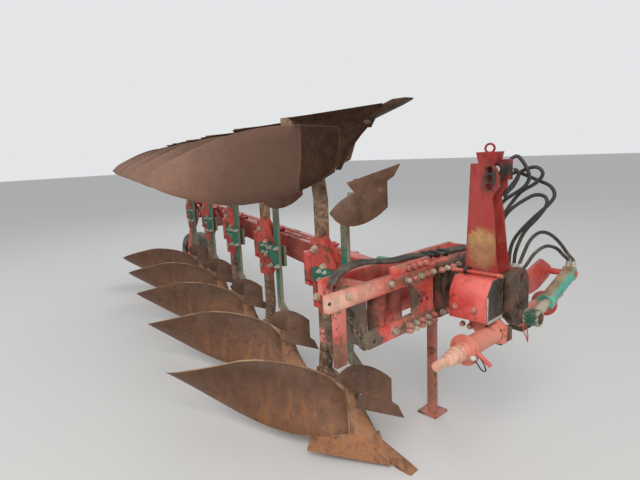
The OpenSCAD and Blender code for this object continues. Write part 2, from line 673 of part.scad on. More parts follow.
module cylinder_bracket() {
    in_y = turn_y + side_y + seat_gap;
    fin_t = 18;
    color(red) {
        translate([housing_x1 - fin_t, 0, 0]) rotate([90, 0, 90]) linear_extrude(fin_t)
            polygon([[in_y, beam_z - 38], [in_y, beam_z + 70], [476, beam_z + 76], [640, beam_z + 108],
                cyl_pin + [0, 34], cyl_pin + [26, 16], cyl_pin + [26, -16], cyl_pin + [-6, -34],
                [600, beam_z - 38], [541, beam_z - 44]]);
        translate([180, 0, 0]) rotate([90, 0, 90]) linear_extrude(housing_x1 - fin_t - 180 + eps)
            polygon([[in_y, beam_z - 10], [in_y, beam_z + 20], [turn_y + 180, beam_z + 10], [turn_y
                + 180, beam_z - 10]]);
        translate([housing_x1 - eps, cyl_pin[0], cyl_pin[1]]) rotate([0, 90, 0])
            cylinder(r = 16, h = cyl_x - housing_x1 + 38);
    }
}

// The turnover cylinder
module along_cylinder() {
    translate([cyl_x, cyl_pin[0], cyl_pin[1]]) rotate([cyl_ang - 90, 0, 0]) children();
}
module turn_barrel() {
    color(green) along_cylinder() difference() {
        union() {
            rotate([0, 90, 0]) translate([0, 0, -28]) cylinder(r = 34, h = 56);
            translate([0, 0, 20]) cylinder(r = turn_barrel_r, h = 260);
            translate([0, 0, 279]) cylinder(r = turn_barrel_r + 5, h = 20);
        }
        rotate([0, 90, 0]) translate([0, 0, -60]) cylinder(r = 16 + run_gap, h = 120);
        translate([0, 0, 60]) cylinder(r = turn_rod_r + run_gap, h = 300);
    }
}
module turn_rod() {
    color(green) along_cylinder() {
        translate([0, 0, 184]) cylinder(r = turn_rod_r, h = cyl_len - 184 - 20);
        translate([0, 0, cyl_len]) rotate([0, 90, 0]) translate([0, 0, -32]) cylinder(r = 38, h = 64);
    }
}

// The width cylinder
module along_width() {
    translate([width_pin[0], width_pin[1], beam_z]) rotate([0, 0, width_ang]) rotate([0, 90, 0]) children();
}
module width_barrel() {
    color(green) along_width() difference() {
        union() {
            rotate([0, 90, 0]) translate([0, 0, -30]) cylinder(r = 30, h = 60);
            translate([0, 0, 20]) cylinder(r = 36, h = 300);
        }
        rotate([0, 90, 0]) translate([0, 0, -60]) cylinder(r = 14 + run_gap, h = 120);
        translate([0, 0, 60]) cylinder(r = 18 + run_gap, h = 300);
    }
}
module width_rod() {
    color(steel) along_width() difference() {
        union() {
            translate([0, 0, 200]) cylinder(r = 18, h = width_len - 220);
            translate([0, 0, width_len]) rotate([0, 90, 0]) translate([0, 0, -22]) cylinder(r = 30, h = 44);
        }
        translate([0, 0, width_len]) rotate([0, 90, 0]) translate([0, 0, -60]) cylinder(r = 16, h = 120);
    }
}

// The stand
module stand_leg() {
    color(red) {
        difference() {
            translate([stand_at[0] - stand_w / 2, stand_at[1] - stand_w / 2, 12])
                cube([stand_w, stand_w, stand_top + 20 - 12]);
            translate([stand_at[0] - stand_w, stand_at[1], stand_top]) rotate([0, 90, 0]) cylinder(r = 8
                + run_gap, h = 2 * stand_w);
        }
        translate([stand_at[0] - foot_w / 2, stand_at[1] - foot_w / 2, 0]) cube([foot_w, foot_w, 12 + eps]);
    }
}

// The depth wheel
module wheel_arm() {
    color(red) {
        translate([0, arm_y + arm_t, 0]) rotate([90, 0, 0]) linear_extrude(arm_t) difference() {
            union() {
                translate([arm_pivot_x, beam_z]) circle(r = 46);
                translate([wheel_at[0], wheel_z]) circle(r = 40);
                polygon([[arm_pivot_x + 44, beam_z - 14], [arm_pivot_x - 44, beam_z + 14],
                    [wheel_at[0] - 38, wheel_z + 12], [wheel_at[0] + 38, wheel_z - 12]]);
            }
            translate([arm_pivot_x, beam_z]) circle(r = 22 + run_gap);
        }
        translate([wheel_at[0], arm_y + arm_t - eps, wheel_z]) rotate([-90, 0, 0]) {
            cylinder(r = 40, h = 10);
            cylinder(r = 24, h = 14 + wheel_w - 4);
        }
    }
}
module wheel_rim() {
    color(steel) translate([wheel_at[0], wheel_at[1] - wheel_w / 2, wheel_z]) rotate([-90, 0, 0])
        difference() {
            union() {
                cylinder(r = wheel_r - 105, h = wheel_w);
            }
            translate([0, 0, -1]) cylinder(r = 24 + run_gap, h = wheel_w + 2);
            for (z = [-1, wheel_w - 60]) translate([0, 0, z]) rotate_extrude() translate([50, 0])
                square([160, 61]);
        }
}
module wheel_tyre() {
    color(black) translate([wheel_at[0], wheel_at[1] - wheel_w / 2, wheel_z]) rotate([-90, 0, 0])
        difference() {
        cylinder(r = wheel_r, h = wheel_w);
        translate([0, 0, -1]) cylinder(r = wheel_r - 105, h = wheel_w + 2);
    }
}

// Hydraulic hoses, each swept along its own points with eight sides
// A hose ends square to its first and last steps
hose_r = 8.5;
function spline(p, t) = let(n = len(p) - 1, k = min(floor(t), n - 1), u = t - k,
    a = p[max(k - 1, 0)], b = p[k], c = p[k + 1], d = p[min(k + 2, n)])
    0.5 * (2 * b + (c - a) * u + (2 * a - 5 * b + 4 * c - d) * u * u + (3 * b - a - 3 * c + d) * u * u * u);
function square_to(v, t) = let(w = v - (v * t) * t / (t * t)) w / norm(w);
function carried(t, v, i = 0) = i >= len(t) ? [] : let(w = square_to(v, t[i])) concat([w],
    carried(t, w, i + 1));
module hose(p, r = hose_r, per = 3) {
    n = len(p) - 1;
    m = n * per;
    c = [for (i = [0:m]) spline(p, i / per)];
    along = [for (i = [0:m]) i == 0 ? p[1] - p[0] : i == m ? p[n] - p[n - 1] : c[i + 1] - c[i - 1]];
    side = carried(along, [0.3, 0.1, 0.2]);
    sides = 8;
    rings = [for (i = [0:m]) let(v = side[i], w = cross(along[i], v) / norm(along[i]))
        for (k = [0:sides - 1]) c[i] + r * (cos(360 * k / sides) * v + sin(360 * k / sides) * w)];
    walls = [for (i = [0:m - 1]) for (k = [0:sides - 1]) let(a = i * sides + k, b = i * sides + (k
        + 1) % sides)
        for (f = [[a, b + sides, b], [a, a + sides, b + sides]]) f];
    polyhedron(rings, concat([[for (k = [0:sides - 1]) k]], walls, [[for (k = [sides - 1:-1:0])
        m * sides + k]]));
}
// Loops at the tower's top, then hoses from the block to the tower, then hoses from the block to the cylinder
hose_foot = block_z + 62;
function on_tower(x, z, off = 0) = [x, turn_y + bottom_gap / 2 - (z - tower_z0) * tan(splay) +
    tower_t / cos(splay) + hose_r + seat_gap + off, z];
near = 5;
// From a face whose outward direction is given, two points that leave it squarely
function leaving(at, out) = [at + seat_gap * out / norm(out), at + out];
function arriving(at, out) = [at + out, at + seat_gap * out / norm(out)];
tower_loops = [
    concat(leaving([268, holder_y, 1512], [0, 14, 0]), [[281, 380, 1534], [305, 389, 1538],
        [339, 395, 1490],
        [352, 400, 1440], [328, 400, 1398], [284, 392, 1366], [250, 376, 1338], on_tower(230, 1306, near),
        on_tower(222, 1280)]),
    concat(leaving([284, holder_y, 1478], [0, 14, 0]), [[301, 378, 1478], [308, 386, 1452],
        [292, 374, 1408],
        on_tower(268, 1374, near), on_tower(262, 1350)]),
    [on_tower(222, 1198), on_tower(230, 1228, near), [252, 392, 1290], [300, 432, 1372], [365, 444, 1415],
        [394, 446, 1458], [365, 440, 1488], [308, 426, 1472], [284, 410, 1430], [262, 388, 1392],
        on_tower(236, 1358, near), on_tower(226, 1334)]];
block_loops = [
    concat(leaving([270, 392, hose_foot], [0, 0, 30]), [[271, 400, 1098], [286, 404, 1148],
        [318, 412, 1198],
        [372, 428, 1262], [425, 450, 1320], [443, 462, 1361], [419, 470, 1400], [362, 474, 1425],
            [312, 462, 1448],
        [284, 432, 1466], [274, 398, 1462]], arriving([272, holder_y, 1454], [0, 16, 0])),
    concat(leaving([296, 390, hose_foot], [0, 0, 30]), [[304, 388, 1100], [340, 390, 1191],
        [398, 400, 1265],
        [430, 410, 1322], [416, 420, 1356], [372, 420, 1362], [325, 400, 1335], [285, 375, 1300],
        on_tower(258, 1262, near), on_tower(250, 1235)])];
cylinder_top = [cyl_pin[0] + 12, cyl_pin[1] + 35];
cylinder_loops = [
    concat(leaving([322, 392, hose_foot], [0, 0, 28]), [[330, 408, 1080], [350, 430, 1145],
        [376, 470, 1180],
        [403, 520, 1170], [425, 590, 1120], [438, 670, 1050]], arriving([442, cylinder_top[0],
            cylinder_top[1]], [0, 0, 30])),
    concat(leaving([300, turn_y + side_y, 985], [0, 20, 0]), [[318, 462, 1010], [345, 500, 1070],
        [374, 560, 1100],
        [398, 630, 1080], [412, 690, 1035]], arriving([417, cylinder_top[0], cylinder_top[1]],
            [0, 0, 30]))];
module headstock_hoses() {
    color(black) for (p = concat(tower_loops, block_loops, cylinder_loops)) hose(p);
}
// Hoses over the front frame, from the headstock to the beam
module frame_hoses() {
    z = beam_z + bar_off + bar_h / 2 + hose_r + seat_gap;
    color(black) for (k = [0:2]) translate([-24 * k, 12 * k, 0])
        hose([[bar_x, 500, z + 0.5], [bar_x - 4, 402, z + 6.1], [bar_x - 8, 345, z + 6.1],
            [bar_x - 30, 210, z + 10], [bar_x - 40, 60, z + 24],
            [bar_x - 52, -80, z + 26], [bar_x - 60, -200, z + 44], [bar_x - 66, -310, z + 56],
            [bar_x - 90, -390, z + 30], [bar_x - 118, -425, z - 20]]);
}

module placed() {
    translate([-mid_x, -mid_y, 0]) children();
}
placed() headstock_housing();
placed() tower();
placed() cover_box();
placed() cross_shaft();
placed() cylinder_bracket();
placed() headstock_hoses();
placed() turnover_shaft();
placed() front_frame();
placed() carriage();
placed() frame_hoses();
placed() stand_leg();
placed() main_beam();
placed() link_rod();
placed() turn_barrel();
placed() turn_rod();
placed() width_barrel();
placed() width_rod();
placed() wheel_arm();
placed() wheel_rim();
placed() wheel_tyre();
for (i = [1:furrows]) {
    placed() leg(i);
    placed() boards(i);
    placed() shares(i);
    placed() stalk(i);
    placed() skimmers(i);
}
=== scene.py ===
import json
import math

import bmesh
import bpy
from mathutils import Matrix, Vector, noise


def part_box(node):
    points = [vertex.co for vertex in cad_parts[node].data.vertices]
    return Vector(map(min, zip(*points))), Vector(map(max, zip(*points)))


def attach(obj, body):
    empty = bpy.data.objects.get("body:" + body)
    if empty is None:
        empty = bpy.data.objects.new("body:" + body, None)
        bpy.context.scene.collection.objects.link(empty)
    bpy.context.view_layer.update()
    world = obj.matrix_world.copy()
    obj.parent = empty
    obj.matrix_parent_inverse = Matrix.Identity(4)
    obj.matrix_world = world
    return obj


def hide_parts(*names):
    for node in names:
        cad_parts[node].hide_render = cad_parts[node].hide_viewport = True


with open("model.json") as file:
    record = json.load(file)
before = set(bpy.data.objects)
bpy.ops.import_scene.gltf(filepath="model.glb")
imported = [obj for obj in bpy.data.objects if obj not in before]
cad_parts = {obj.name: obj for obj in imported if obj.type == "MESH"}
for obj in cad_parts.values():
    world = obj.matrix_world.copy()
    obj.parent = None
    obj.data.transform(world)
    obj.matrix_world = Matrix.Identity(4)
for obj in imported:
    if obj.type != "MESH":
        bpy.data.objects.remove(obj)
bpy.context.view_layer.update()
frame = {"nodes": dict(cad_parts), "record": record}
nodes = frame["nodes"]
bodyOf = {node: body for body, group in frame["record"]["behaviour"]["bodies"].items() for node in group}
print("stage: frame loaded")

# sizes in mm; the plough's own origin is on the floor under the first share's tip, right of the turnover axis
plough = {"axisLeft": 294, "beamHeight": 908, "stations": 5, "bodySpacing": 950, "furrowWidth": 326}
stations = range(1, plough["stations"] + 1)
shaftLow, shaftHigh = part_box("turnover_shaft")
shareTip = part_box("shares_1")[1]
origin = Vector((shareTip.x, (shaftLow.y + shaftHigh.y) / 2 - plough["axisLeft"] / 1000, 0))


def at(x, y, z):
    return origin + Vector((x, y, z)) / 1000


def atStation(k, x, y, z):
    return at(x - (k - 1) * plough["bodySpacing"], y + (k - 1) * plough["furrowWidth"], z)


def mirroredHeight(z):
    return 2 * plough["beamHeight"] - z


# camera where the photograph was taken from, in mm and degrees
eye = {"place": (1311.2, -1845, 1597.6), "yaw": 136.418, "pitch": -10.091, "roll": -2.633,
       "lens": 27.616, "sensor": 36, "nearest": 0.05, "farthest": 200}


def makeCamera(name, eye):
    data = bpy.data.cameras.new(name)
    data.lens = eye["lens"]
    data.sensor_width = eye["sensor"]
    data.clip_start = eye["nearest"]
    data.clip_end = eye["farthest"]
    camera = bpy.data.objects.new(name, data)
    bpy.context.scene.collection.objects.link(camera)
    yaw, pitch, roll = (math.radians(eye[angle]) for angle in ("yaw", "pitch", "roll"))
    forward = Vector((math.cos(yaw) * math.cos(pitch), math.sin(yaw) * math.cos(pitch), math.sin(pitch)))
    side = forward.cross(Vector((0, 0, 1))).normalized()
    up = side.cross(forward)
    right = math.cos(roll) * side + math.sin(roll) * up
    top = -math.sin(roll) * side + math.cos(roll) * up
    turn = Matrix((right, top, -forward)).transposed().to_4x4()
    camera.matrix_world = Matrix.Translation(at(*eye["place"])) @ turn
    bpy.context.scene.camera = camera


makeCamera("camera", eye)

# studio with a plain pale floor, a soft key lamp, a fill and a rim, in metres and watts
studio = {"floorSize": 60, "floorColour": (0.68, 0.68, 0.67, 1), "floorRoughness": 0.8,
          "skyColour": (0.96, 0.98, 1, 1), "skyStrength": 0.56,
          "backdropColour": (0.97, 0.98, 1, 1), "backdropStrength": 0.8}
lamps = {"key": {"place": (6.2, -5.4, 6.2), "aim": (0.6, 0, 0.7), "size": 5, "power": 460,
                 "colour": (1, 0.97, 0.93)},
         "fill": {"place": (-3, -6, 4), "aim": (-1, 0, 0.6), "size": 4, "power": 60, "colour": (1, 1, 1)},
         "rim": {"place": (-5, 5, 6), "aim": (0, 0, 1), "size": 4, "power": 90, "colour": (1, 1, 1)}}


def makeFloor(studio):
    bm = bmesh.new()
    bmesh.ops.create_grid(bm, x_segments=1, y_segments=1, size=studio["floorSize"])
    mesh = bpy.data.meshes.new("floor")
    bm.to_mesh(mesh)
    bm.free()
    floor = bpy.data.objects.new("floor", mesh)
    bpy.context.scene.collection.objects.link(floor)
    material = bpy.data.materials.new("studioFloor")
    material.use_nodes = True
    shader = material.node_tree.nodes["Principled BSDF"]
    shader.inputs["Base Color"].default_value = studio["floorColour"]
    shader.inputs["Roughness"].default_value = studio["floorRoughness"]
    floor.data.materials.append(material)


def makeSky(studio):
    world = bpy.data.worlds.new("studio")
    bpy.context.scene.world = world
    world.use_nodes = True
    tree = world.node_tree
    sky = tree.nodes["Background"]
    sky.inputs["Color"].default_value = studio["skyColour"]
    sky.inputs["Strength"].default_value = studio["skyStrength"]
    backdrop = tree.nodes.new("ShaderNodeBackground")
    backdrop.inputs["Color"].default_value = studio["backdropColour"]
    backdrop.inputs["Strength"].default_value = studio["backdropStrength"]
    rays = tree.nodes.new("ShaderNodeLightPath")
    either = tree.nodes.new("ShaderNodeMath")
    either.operation = "MAXIMUM"
    tree.links.new(rays.outputs["Is Camera Ray"], either.inputs[0])
    tree.links.new(rays.outputs["Is Glossy Ray"], either.inputs[1])
    choice = tree.nodes.new("ShaderNodeMixShader")
    tree.links.new(either.outputs[0], choice.inputs[0])
    tree.links.new(sky.outputs[0], choice.inputs[1])
    tree.links.new(backdrop.outputs[0], choice.inputs[2])
    tree.links.new(choice.outputs[0], tree.nodes["World Output"].inputs[0])


def makeLamp(name, lamp):
    data = bpy.data.lights.new(name, "AREA")
    data.shape = "DISK"
    data.size = lamp["size"]
    data.energy = lamp["power"]
    data.color = lamp["colour"]
    light = bpy.data.objects.new(name, data)
    bpy.context.scene.collection.objects.link(light)
    light.location = lamp["place"]
    light.rotation_euler = (Vector(lamp["aim"]) - Vector(lamp["place"])).to_track_quat("-Z", "Y").to_euler()


makeFloor(studio)
makeSky(studio)
for name, lamp in lamps.items():
    makeLamp(name, lamp)
bpy.context.scene.view_settings.view_transform = "Standard"
print("stage: camera and studio")


# the nodes of one material and how they are wired; noise scales are per metre
class Wires:
    def __init__(self, name, roughness=0.6, metallic=0.0, specular=0.5):
        self.material = bpy.data.materials.new(name)
        self.material.use_nodes = True
        self.tree = self.material.node_tree
        self.shader = self.tree.nodes["Principled BSDF"]
        self.shader.inputs["Roughness"].default_value = roughness
        self.shader.inputs["Metallic"].default_value = metallic
        self.shader.inputs["Specular IOR Level"].default_value = specular
        self.place = self.node("TexCoord").outputs["Object"]

    def node(self, kind):
        return self.tree.nodes.new("ShaderNode" + kind)

    def link(self, a, b):
        self.tree.links.new(a, b)

    def split(self, vector):
        node = self.node("SeparateXYZ")
        self.link(vector, node.inputs[0])
        return node.outputs

    def stretched(self, scale):
        node = self.node("Mapping")
        node.inputs["Scale"].default_value = scale
        self.link(self.place, node.inputs["Vector"])
        return node.outputs["Vector"]

    def noise(self, scale, detail=6, rough=0.6, distortion=0.0, stretch=None):
        node = self.node("TexNoise")
        node.inputs["Scale"].default_value = scale
        node.inputs["Detail"].default_value = detail
        node.inputs["Roughness"].default_value = rough
        node.inputs["Distortion"].default_value = distortion
        self.link(self.stretched(stretch) if stretch else self.place, node.inputs["Vector"])
        return node.outputs["Fac"]

    def step(self, value, low, high, bottom=0.0, top=1.0):
        node = self.node("MapRange")
        node.interpolation_type = "SMOOTHSTEP"
        node.inputs["From Min"].default_value = low
        node.inputs["From Max"].default_value = high
        node.inputs["To Min"].default_value = bottom
        node.inputs["To Max"].default_value = top
        self.link(value, node.inputs["Value"])
        return node.outputs["Result"]

    def maths(self, kind, *values):
        node = self.node("Math")
        node.operation = kind
        for socket, value in zip(node.inputs, values):
            if isinstance(value, (int, float)):
                socket.default_value = value
            else:
                self.link(value, socket)
        return node.outputs[0]

    def plus(self, a, b):
        return self.maths("ADD", a, b)

    def times(self, a, b):
        return self.maths("MULTIPLY", a, b)

    def centred(self, value):
        return self.maths("SUBTRACT", value, 0.5)

    def mix(self, share, a, b):
        node = self.node("Mix")
        node.data_type = "RGBA"
        for socket, colour in ((node.inputs[6], a), (node.inputs[7], b)):
            if isinstance(colour, tuple):
                socket.default_value = (*colour, 1)
            else:
                self.link(colour, socket)
        self.link(share, node.inputs[0])
        return node.outputs[2]

    # 1 at a place, down to 0 at its reach
    def near(self, place, reach):
        vector = self.place
        for kind, by in (("SUBTRACT", place), ("DIVIDE", reach)):
            node = self.node("VectorMath")
            node.operation = kind
            node.inputs[1].default_value = by
            self.link(vector, node.inputs[0])
            vector = node.outputs["Vector"]
        node = self.node("VectorMath")
        node.operation = "LENGTH"
        self.link(vector, node.inputs[0])
        return self.step(node.outputs["Value"], 0, 1, bottom=1.0, top=0.0)

    # 1 where the surface faces that way in the piece's own coordinates
    def facing(self, way):
        node = self.node("VectorMath")
        node.operation = "DOT_PRODUCT"
        node.inputs[1].default_value = way
        self.link(self.node("TexCoord").outputs["Normal"], node.inputs[0])
        return node.outputs["Value"]

    def attribute(self, name):
        node = self.node("Attribute")
        node.attribute_name = name
        return node.outputs

    def bump(self, value, strength, distance):
        node = self.node("Bump")
        node.inputs["Strength"].default_value = strength
        node.inputs["Distance"].default_value = distance
        self.link(value, node.inputs["Height"])
        self.link(node.outputs["Normal"], self.shader.inputs["Normal"])

    def finish(self, colour, rough=None):
        self.link(colour, self.shader.inputs["Base Color"])
        if rough is not None:
            self.link(rough, self.shader.inputs["Roughness"])
        return self.material


def tinted(colour, share):
    return tuple(min(1, part * share) for part in colour)


# a rusty, rubbed or soiled place on a painted part: reach is in metres, spread is how soft its edge is
def patch(place, reach, colour, spread):
    return {"place": at(*place), "reach": reach, "colour": colour, "spread": spread}


rustBrown = (0.16, 0.075, 0.035)
drySoil = (0.27, 0.2, 0.13)

# paint: clouds of fading, mottled chips, fine specks, scuffs, runs of rain and settled dust
paintLook = {"clouds": 3.4, "mottle": 13, "specks": 75, "scuffs": 40, "runs": 21, "dust": 5.5,
             "speckShare": 1.25, "chipRagged": 0.16, "chipStart": 0.08, "chipEnd": 0.11,
             "dustWidth": 0.2, "dustCover": 0.8, "dustOnTop": 0.07, "bump": 0.35, "bumpDepth": 0.003}


# noise lies mostly between 0.3 and 0.7, so the levels of a step set how much of it shows
def paintedMetal(name, paint, faded, chips, dirt=0.56, rust=rustBrown, mud=drySoil, patches=(), endCoat=None):
    look = paintLook
    w = Wires(name, specular=0.35)
    clouds = w.noise(look["clouds"])
    mottle = w.noise(look["mottle"], 7, 0.66, distortion=0.3)
    specks = w.noise(look["specks"], rough=0.7)
    grain = w.plus(w.times(w.centred(specks), look["speckShare"]), w.centred(mottle))

    base = w.mix(w.step(clouds, 0.4, 0.62), paint, faded)
    scuffs = w.step(w.noise(look["scuffs"], 7, 0.7), 0.42, 0.66, top=0.4)
    base = w.mix(scuffs, base, faded)
    runs = w.step(w.noise(look["runs"], 5, stretch=(1, 1, 0.3)), 0.5, 0.72, top=0.5)
    base = w.mix(runs, base, tinted(paint, 0.5))
    broken = w.plus(mottle, w.times(specks, look["chipRagged"]))
    chipped = w.step(broken, chips + look["chipStart"], chips + look["chipEnd"])
    base = w.mix(chipped, base, w.mix(specks, rust, tinted(rust, 0.5)))

    for spot in patches:
        mask = w.plus(w.near(spot["place"], spot["reach"]), grain)
        mask = w.step(mask, 0.5 - spot["spread"], 0.5 + spot["spread"])
        shaded = w.mix(w.step(mottle, 0.4, 0.62, top=0.7), spot["colour"], tinted(spot["colour"], 0.6))
        base = w.mix(mask, base, shaded)
    if endCoat:  # another colour on the side that faces one way
        low, high = endCoat["low"], endCoat["high"]
        slope = w.plus(w.facing(endCoat["way"]), w.times(grain, high - low))
        shaded = w.mix(w.step(mottle, 0.4, 0.6), endCoat["colour"], tinted(endCoat["colour"], 0.55))
        base = w.mix(w.step(slope, low, high), base, shaded)

    worn = w.times(w.attribute("wear")["Fac"], w.step(specks, 0.4, 0.6, top=0.8))
    base = w.mix(worn, base, w.mix(mottle, faded, mud))
    settled = w.plus(w.noise(look["dust"], 8, 0.72), w.times(w.facing((0, 0, 1)), look["dustOnTop"]))
    dust = w.step(settled, dirt, dirt + look["dustWidth"], top=look["dustCover"])
    coloured = w.mix(dust, base, w.mix(specks, mud, tinted(mud, 0.55)))
    w.bump(w.plus(broken, w.times(dust, 0.5)), look["bump"], look["bumpDepth"])
    return w.finish(coloured, w.step(w.plus(dust, w.times(specks, 0.3)), 0, 1, bottom=0.4, top=0.85))


# legs and stalks are painted near the beam and worn bare towards the soil
legLook = {"clouds": 4, "mottle": 12, "specks": 70, "ragged": 0.16, "leadingWay": (0.94, -0.2, 0),
           "bump": 0.6, "bumpDepth": 0.005}


def legSteel(name, paint, rust, mud, paintEnds, soilStarts, leading=0.0):
    look = legLook
    w = Wires(name, 0.75, specular=0.3)
    away = w.maths("ABSOLUTE", w.maths("SUBTRACT", w.split(w.place)["Z"], plough["beamHeight"] / 1000))
    mottle = w.noise(look["mottle"], 8, 0.7, distortion=0.5)
    specks = w.noise(look["specks"], rough=0.7)

    painted = w.mix(w.step(w.noise(look["clouds"], 5), 0.4, 0.65), paint, tinted(paint, 0.62))
    painted = w.mix(w.step(mottle, 0.5, 0.6), painted, w.mix(specks, rust, tinted(rust, 0.5)))
    worn = w.times(w.attribute("wear")["Fac"], w.step(specks, 0.35, 0.6))
    painted = w.mix(worn, painted, rust)
    soiled = w.mix(w.step(specks, 0.35, 0.6), rust, mud)
    bare = w.mix(w.step(mottle, 0.34, 0.58), tinted(rust, 0.6), soiled)
    ragged = w.plus(away, w.times(w.centred(mottle), look["ragged"]))
    coloured = w.mix(w.step(ragged, paintEnds, soilStarts), painted, bare)
    if leading:  # soil wears the paint off the face that leads
        scoured = w.plus(w.facing(look["leadingWay"]), w.centred(mottle))
        coloured = w.mix(w.step(scoured, 0.45, 0.75, top=leading), coloured, mud)
    w.bump(w.plus(mottle, w.times(specks, 0.4)), look["bump"], look["bumpDepth"])
    return w.finish(coloured)


# wear steel reads its attribute "own": x from the body's point, y up from its ground, z 1 on the upper row
boardLook = {"cloud": 5, "specks": 95, "runs": 26, "grain": 30, "blotches": 17, "wander": 0.5,
             "seam": -0.47, "seamLean": 0.37, "seamHalf": 0.004, "bump": 0.2, "bumpDepth": 0.0015}


def boardSteel(name, low, middle, high, streak, upper, tail, paintedShade, blotch, blotchShare, rim=None):
    look = boardLook
    w = Wires(name, 0.55, 0.1, 0.35)
    own = w.split(w.attribute("own")["Vector"])
    specks = w.noise(look["specks"], rough=0.7)
    cloud = w.noise(look["cloud"], 7, 0.68, distortion=0.4)
    wander = w.times(w.centred(cloud), look["wander"])

    # lower row: three browns up its height, with wet rusty runs
    height = w.plus(own["Y"], wander)
    down = w.mix(w.step(height, 0.12, 0.36), low, middle)
    down = w.mix(w.step(height, 0.32, 0.5), down, high)
    runs = w.noise(look["runs"], stretch=(1, 1, 0.1))
    wet = w.times(w.step(runs, 0.5, 0.64), w.step(own["Y"], 0.06, 0.4, bottom=0.9, top=0.15))
    down = w.mix(wet, down, streak)

    # upper row: pale towards the tail; in front of the seam between board and shin it is painted dark,
    # painted shade on the row that faces down, streaked up and down
    up = w.mix(w.step(w.plus(own["X"], wander), -1.25, -0.85), tail, upper)
    seamed = w.plus(own["X"], w.times(own["Y"], look["seamLean"]))
    place, half = look["seam"], look["seamHalf"]
    grain = w.noise(look["grain"], rough=0.65, stretch=(1, 1, 0.12))
    front = w.mix(w.step(grain, 0.4, 0.66), paintedShade, tinted(paintedShade, 1.9))
    up = w.mix(w.step(seamed, place - half, place + half), up, front)
    # painted highlight: a lighter line on the plate's edge just behind the seam
    line = w.times(w.step(seamed, place - 3 * half, place - 2 * half),
                   w.step(seamed, place - half, place, bottom=1.0, top=0.0))
    up = w.mix(w.times(line, w.step(cloud, 0.3, 0.7, bottom=0.1, top=0.6)), up, low)

    base = w.mix(own["Z"], down, up)
    blotched = w.step(w.noise(look["blotches"], 8, 0.72, distortion=0.4), 0.46, 0.66, top=blotchShare)
    base = w.mix(w.times(blotched, w.step(own["Z"], 0, 1, bottom=1, top=0.4)), base, blotch)
    base = w.mix(w.step(specks, 0.52, 0.7, top=0.3), base, tinted(upper, 1.5))
    # worn edges are painted lighter: wear with a painted highlight
    worn = w.times(w.attribute("wear")["Fac"], w.step(specks, 0.3, 0.6, bottom=0.3, top=0.9))
    coloured = w.mix(worn, base, tinted(low, 1.9))
    if rim:  # the boards' edges are painted lighter: polish with a painted highlight, least on the upper row
        edge = w.step(w.attribute("rim")["Fac"], 0.88, 0.97)
        polishAndHighlight = w.times(edge, w.step(cloud, 0.38, 0.62, bottom=0.15, top=0.8))
        coloured = w.mix(w.times(polishAndHighlight, w.step(own["Z"], 0, 1, bottom=1, top=0.1)), coloured, rim)
    w.bump(w.plus(specks, w.times(runs, 0.4)), look["bump"], look["bumpDepth"])
    return w.finish(coloured, w.step(specks, 0.3, 0.7, bottom=0.45, top=0.75))


steelLook = {"clouds": 6, "warmth": 15, "specks": 95, "mud": 8, "bump": 0.3, "bumpDepth": 0.002}


def rustySteel(name, light, dark, warm, mud, rough):
    look = steelLook
    w = Wires(name, rough, 0.15, 0.4)
    clouds = w.noise(look["clouds"], 7, 0.66, distortion=0.6)
    specks = w.noise(look["specks"], rough=0.7)
    base = w.mix(w.step(clouds, 0.36, 0.62), dark, light)
    base = w.mix(w.step(w.noise(look["warmth"], 8, 0.7), 0.5, 0.66, top=0.6), base, warm)
    base = w.mix(w.step(specks, 0.5, 0.72, top=0.35), base, tinted(light, 1.5))
    base = w.mix(w.step(w.noise(look["mud"], 8, 0.75), 0.56, 0.72, top=0.7), base, mud)
    worn = w.times(w.attribute("wear")["Fac"], w.step(specks, 0.3, 0.6, bottom=0.2, top=0.8))
    coloured = w.mix(worn, base, tinted(light, 1.9))
    w.bump(w.plus(specks, w.times(clouds, 0.5)), look["bump"], look["bumpDepth"])
    return w.finish(coloured, w.step(specks, 0.3, 0.7, bottom=rough - 0.1, top=rough + 0.25))


rubberLook = {"dust": 14, "grain": 220, "bump": 0.2, "bumpDepth": 0.001}


def rubber(name, colour, dust, low, high, settled=None):
    look = rubberLook
    w = Wires(name, 0.62)
    layer = w.step(w.noise(look["dust"], rough=0.7), low, high)
    if settled:  # dust lies below the first height and thins out up to the second
        thinning = w.step(w.split(w.place)["Z"], settled[0], settled[1], bottom=1.0, top=0.15)
        layer = w.times(w.plus(layer, 0.25), thinning)
    coloured = w.mix(layer, colour, dust)
    w.bump(w.noise(look["grain"], 4), look["bump"], look["bumpDepth"])
    return w.finish(coloured)


soilLook = {"grain": 60, "bump": 1.0, "bumpDepth": 0.015}


def cakedSoil(name, light, dark):
    w = Wires(name, 0.95, specular=0.15)
    grain = w.noise(soilLook["grain"], 9, 0.8, distortion=0.8)
    coloured = w.mix(w.step(grain, 0.38, 0.62), dark, light)
    w.bump(grain, soilLook["bump"], soilLook["bumpDepth"])
    return w.finish(coloured)


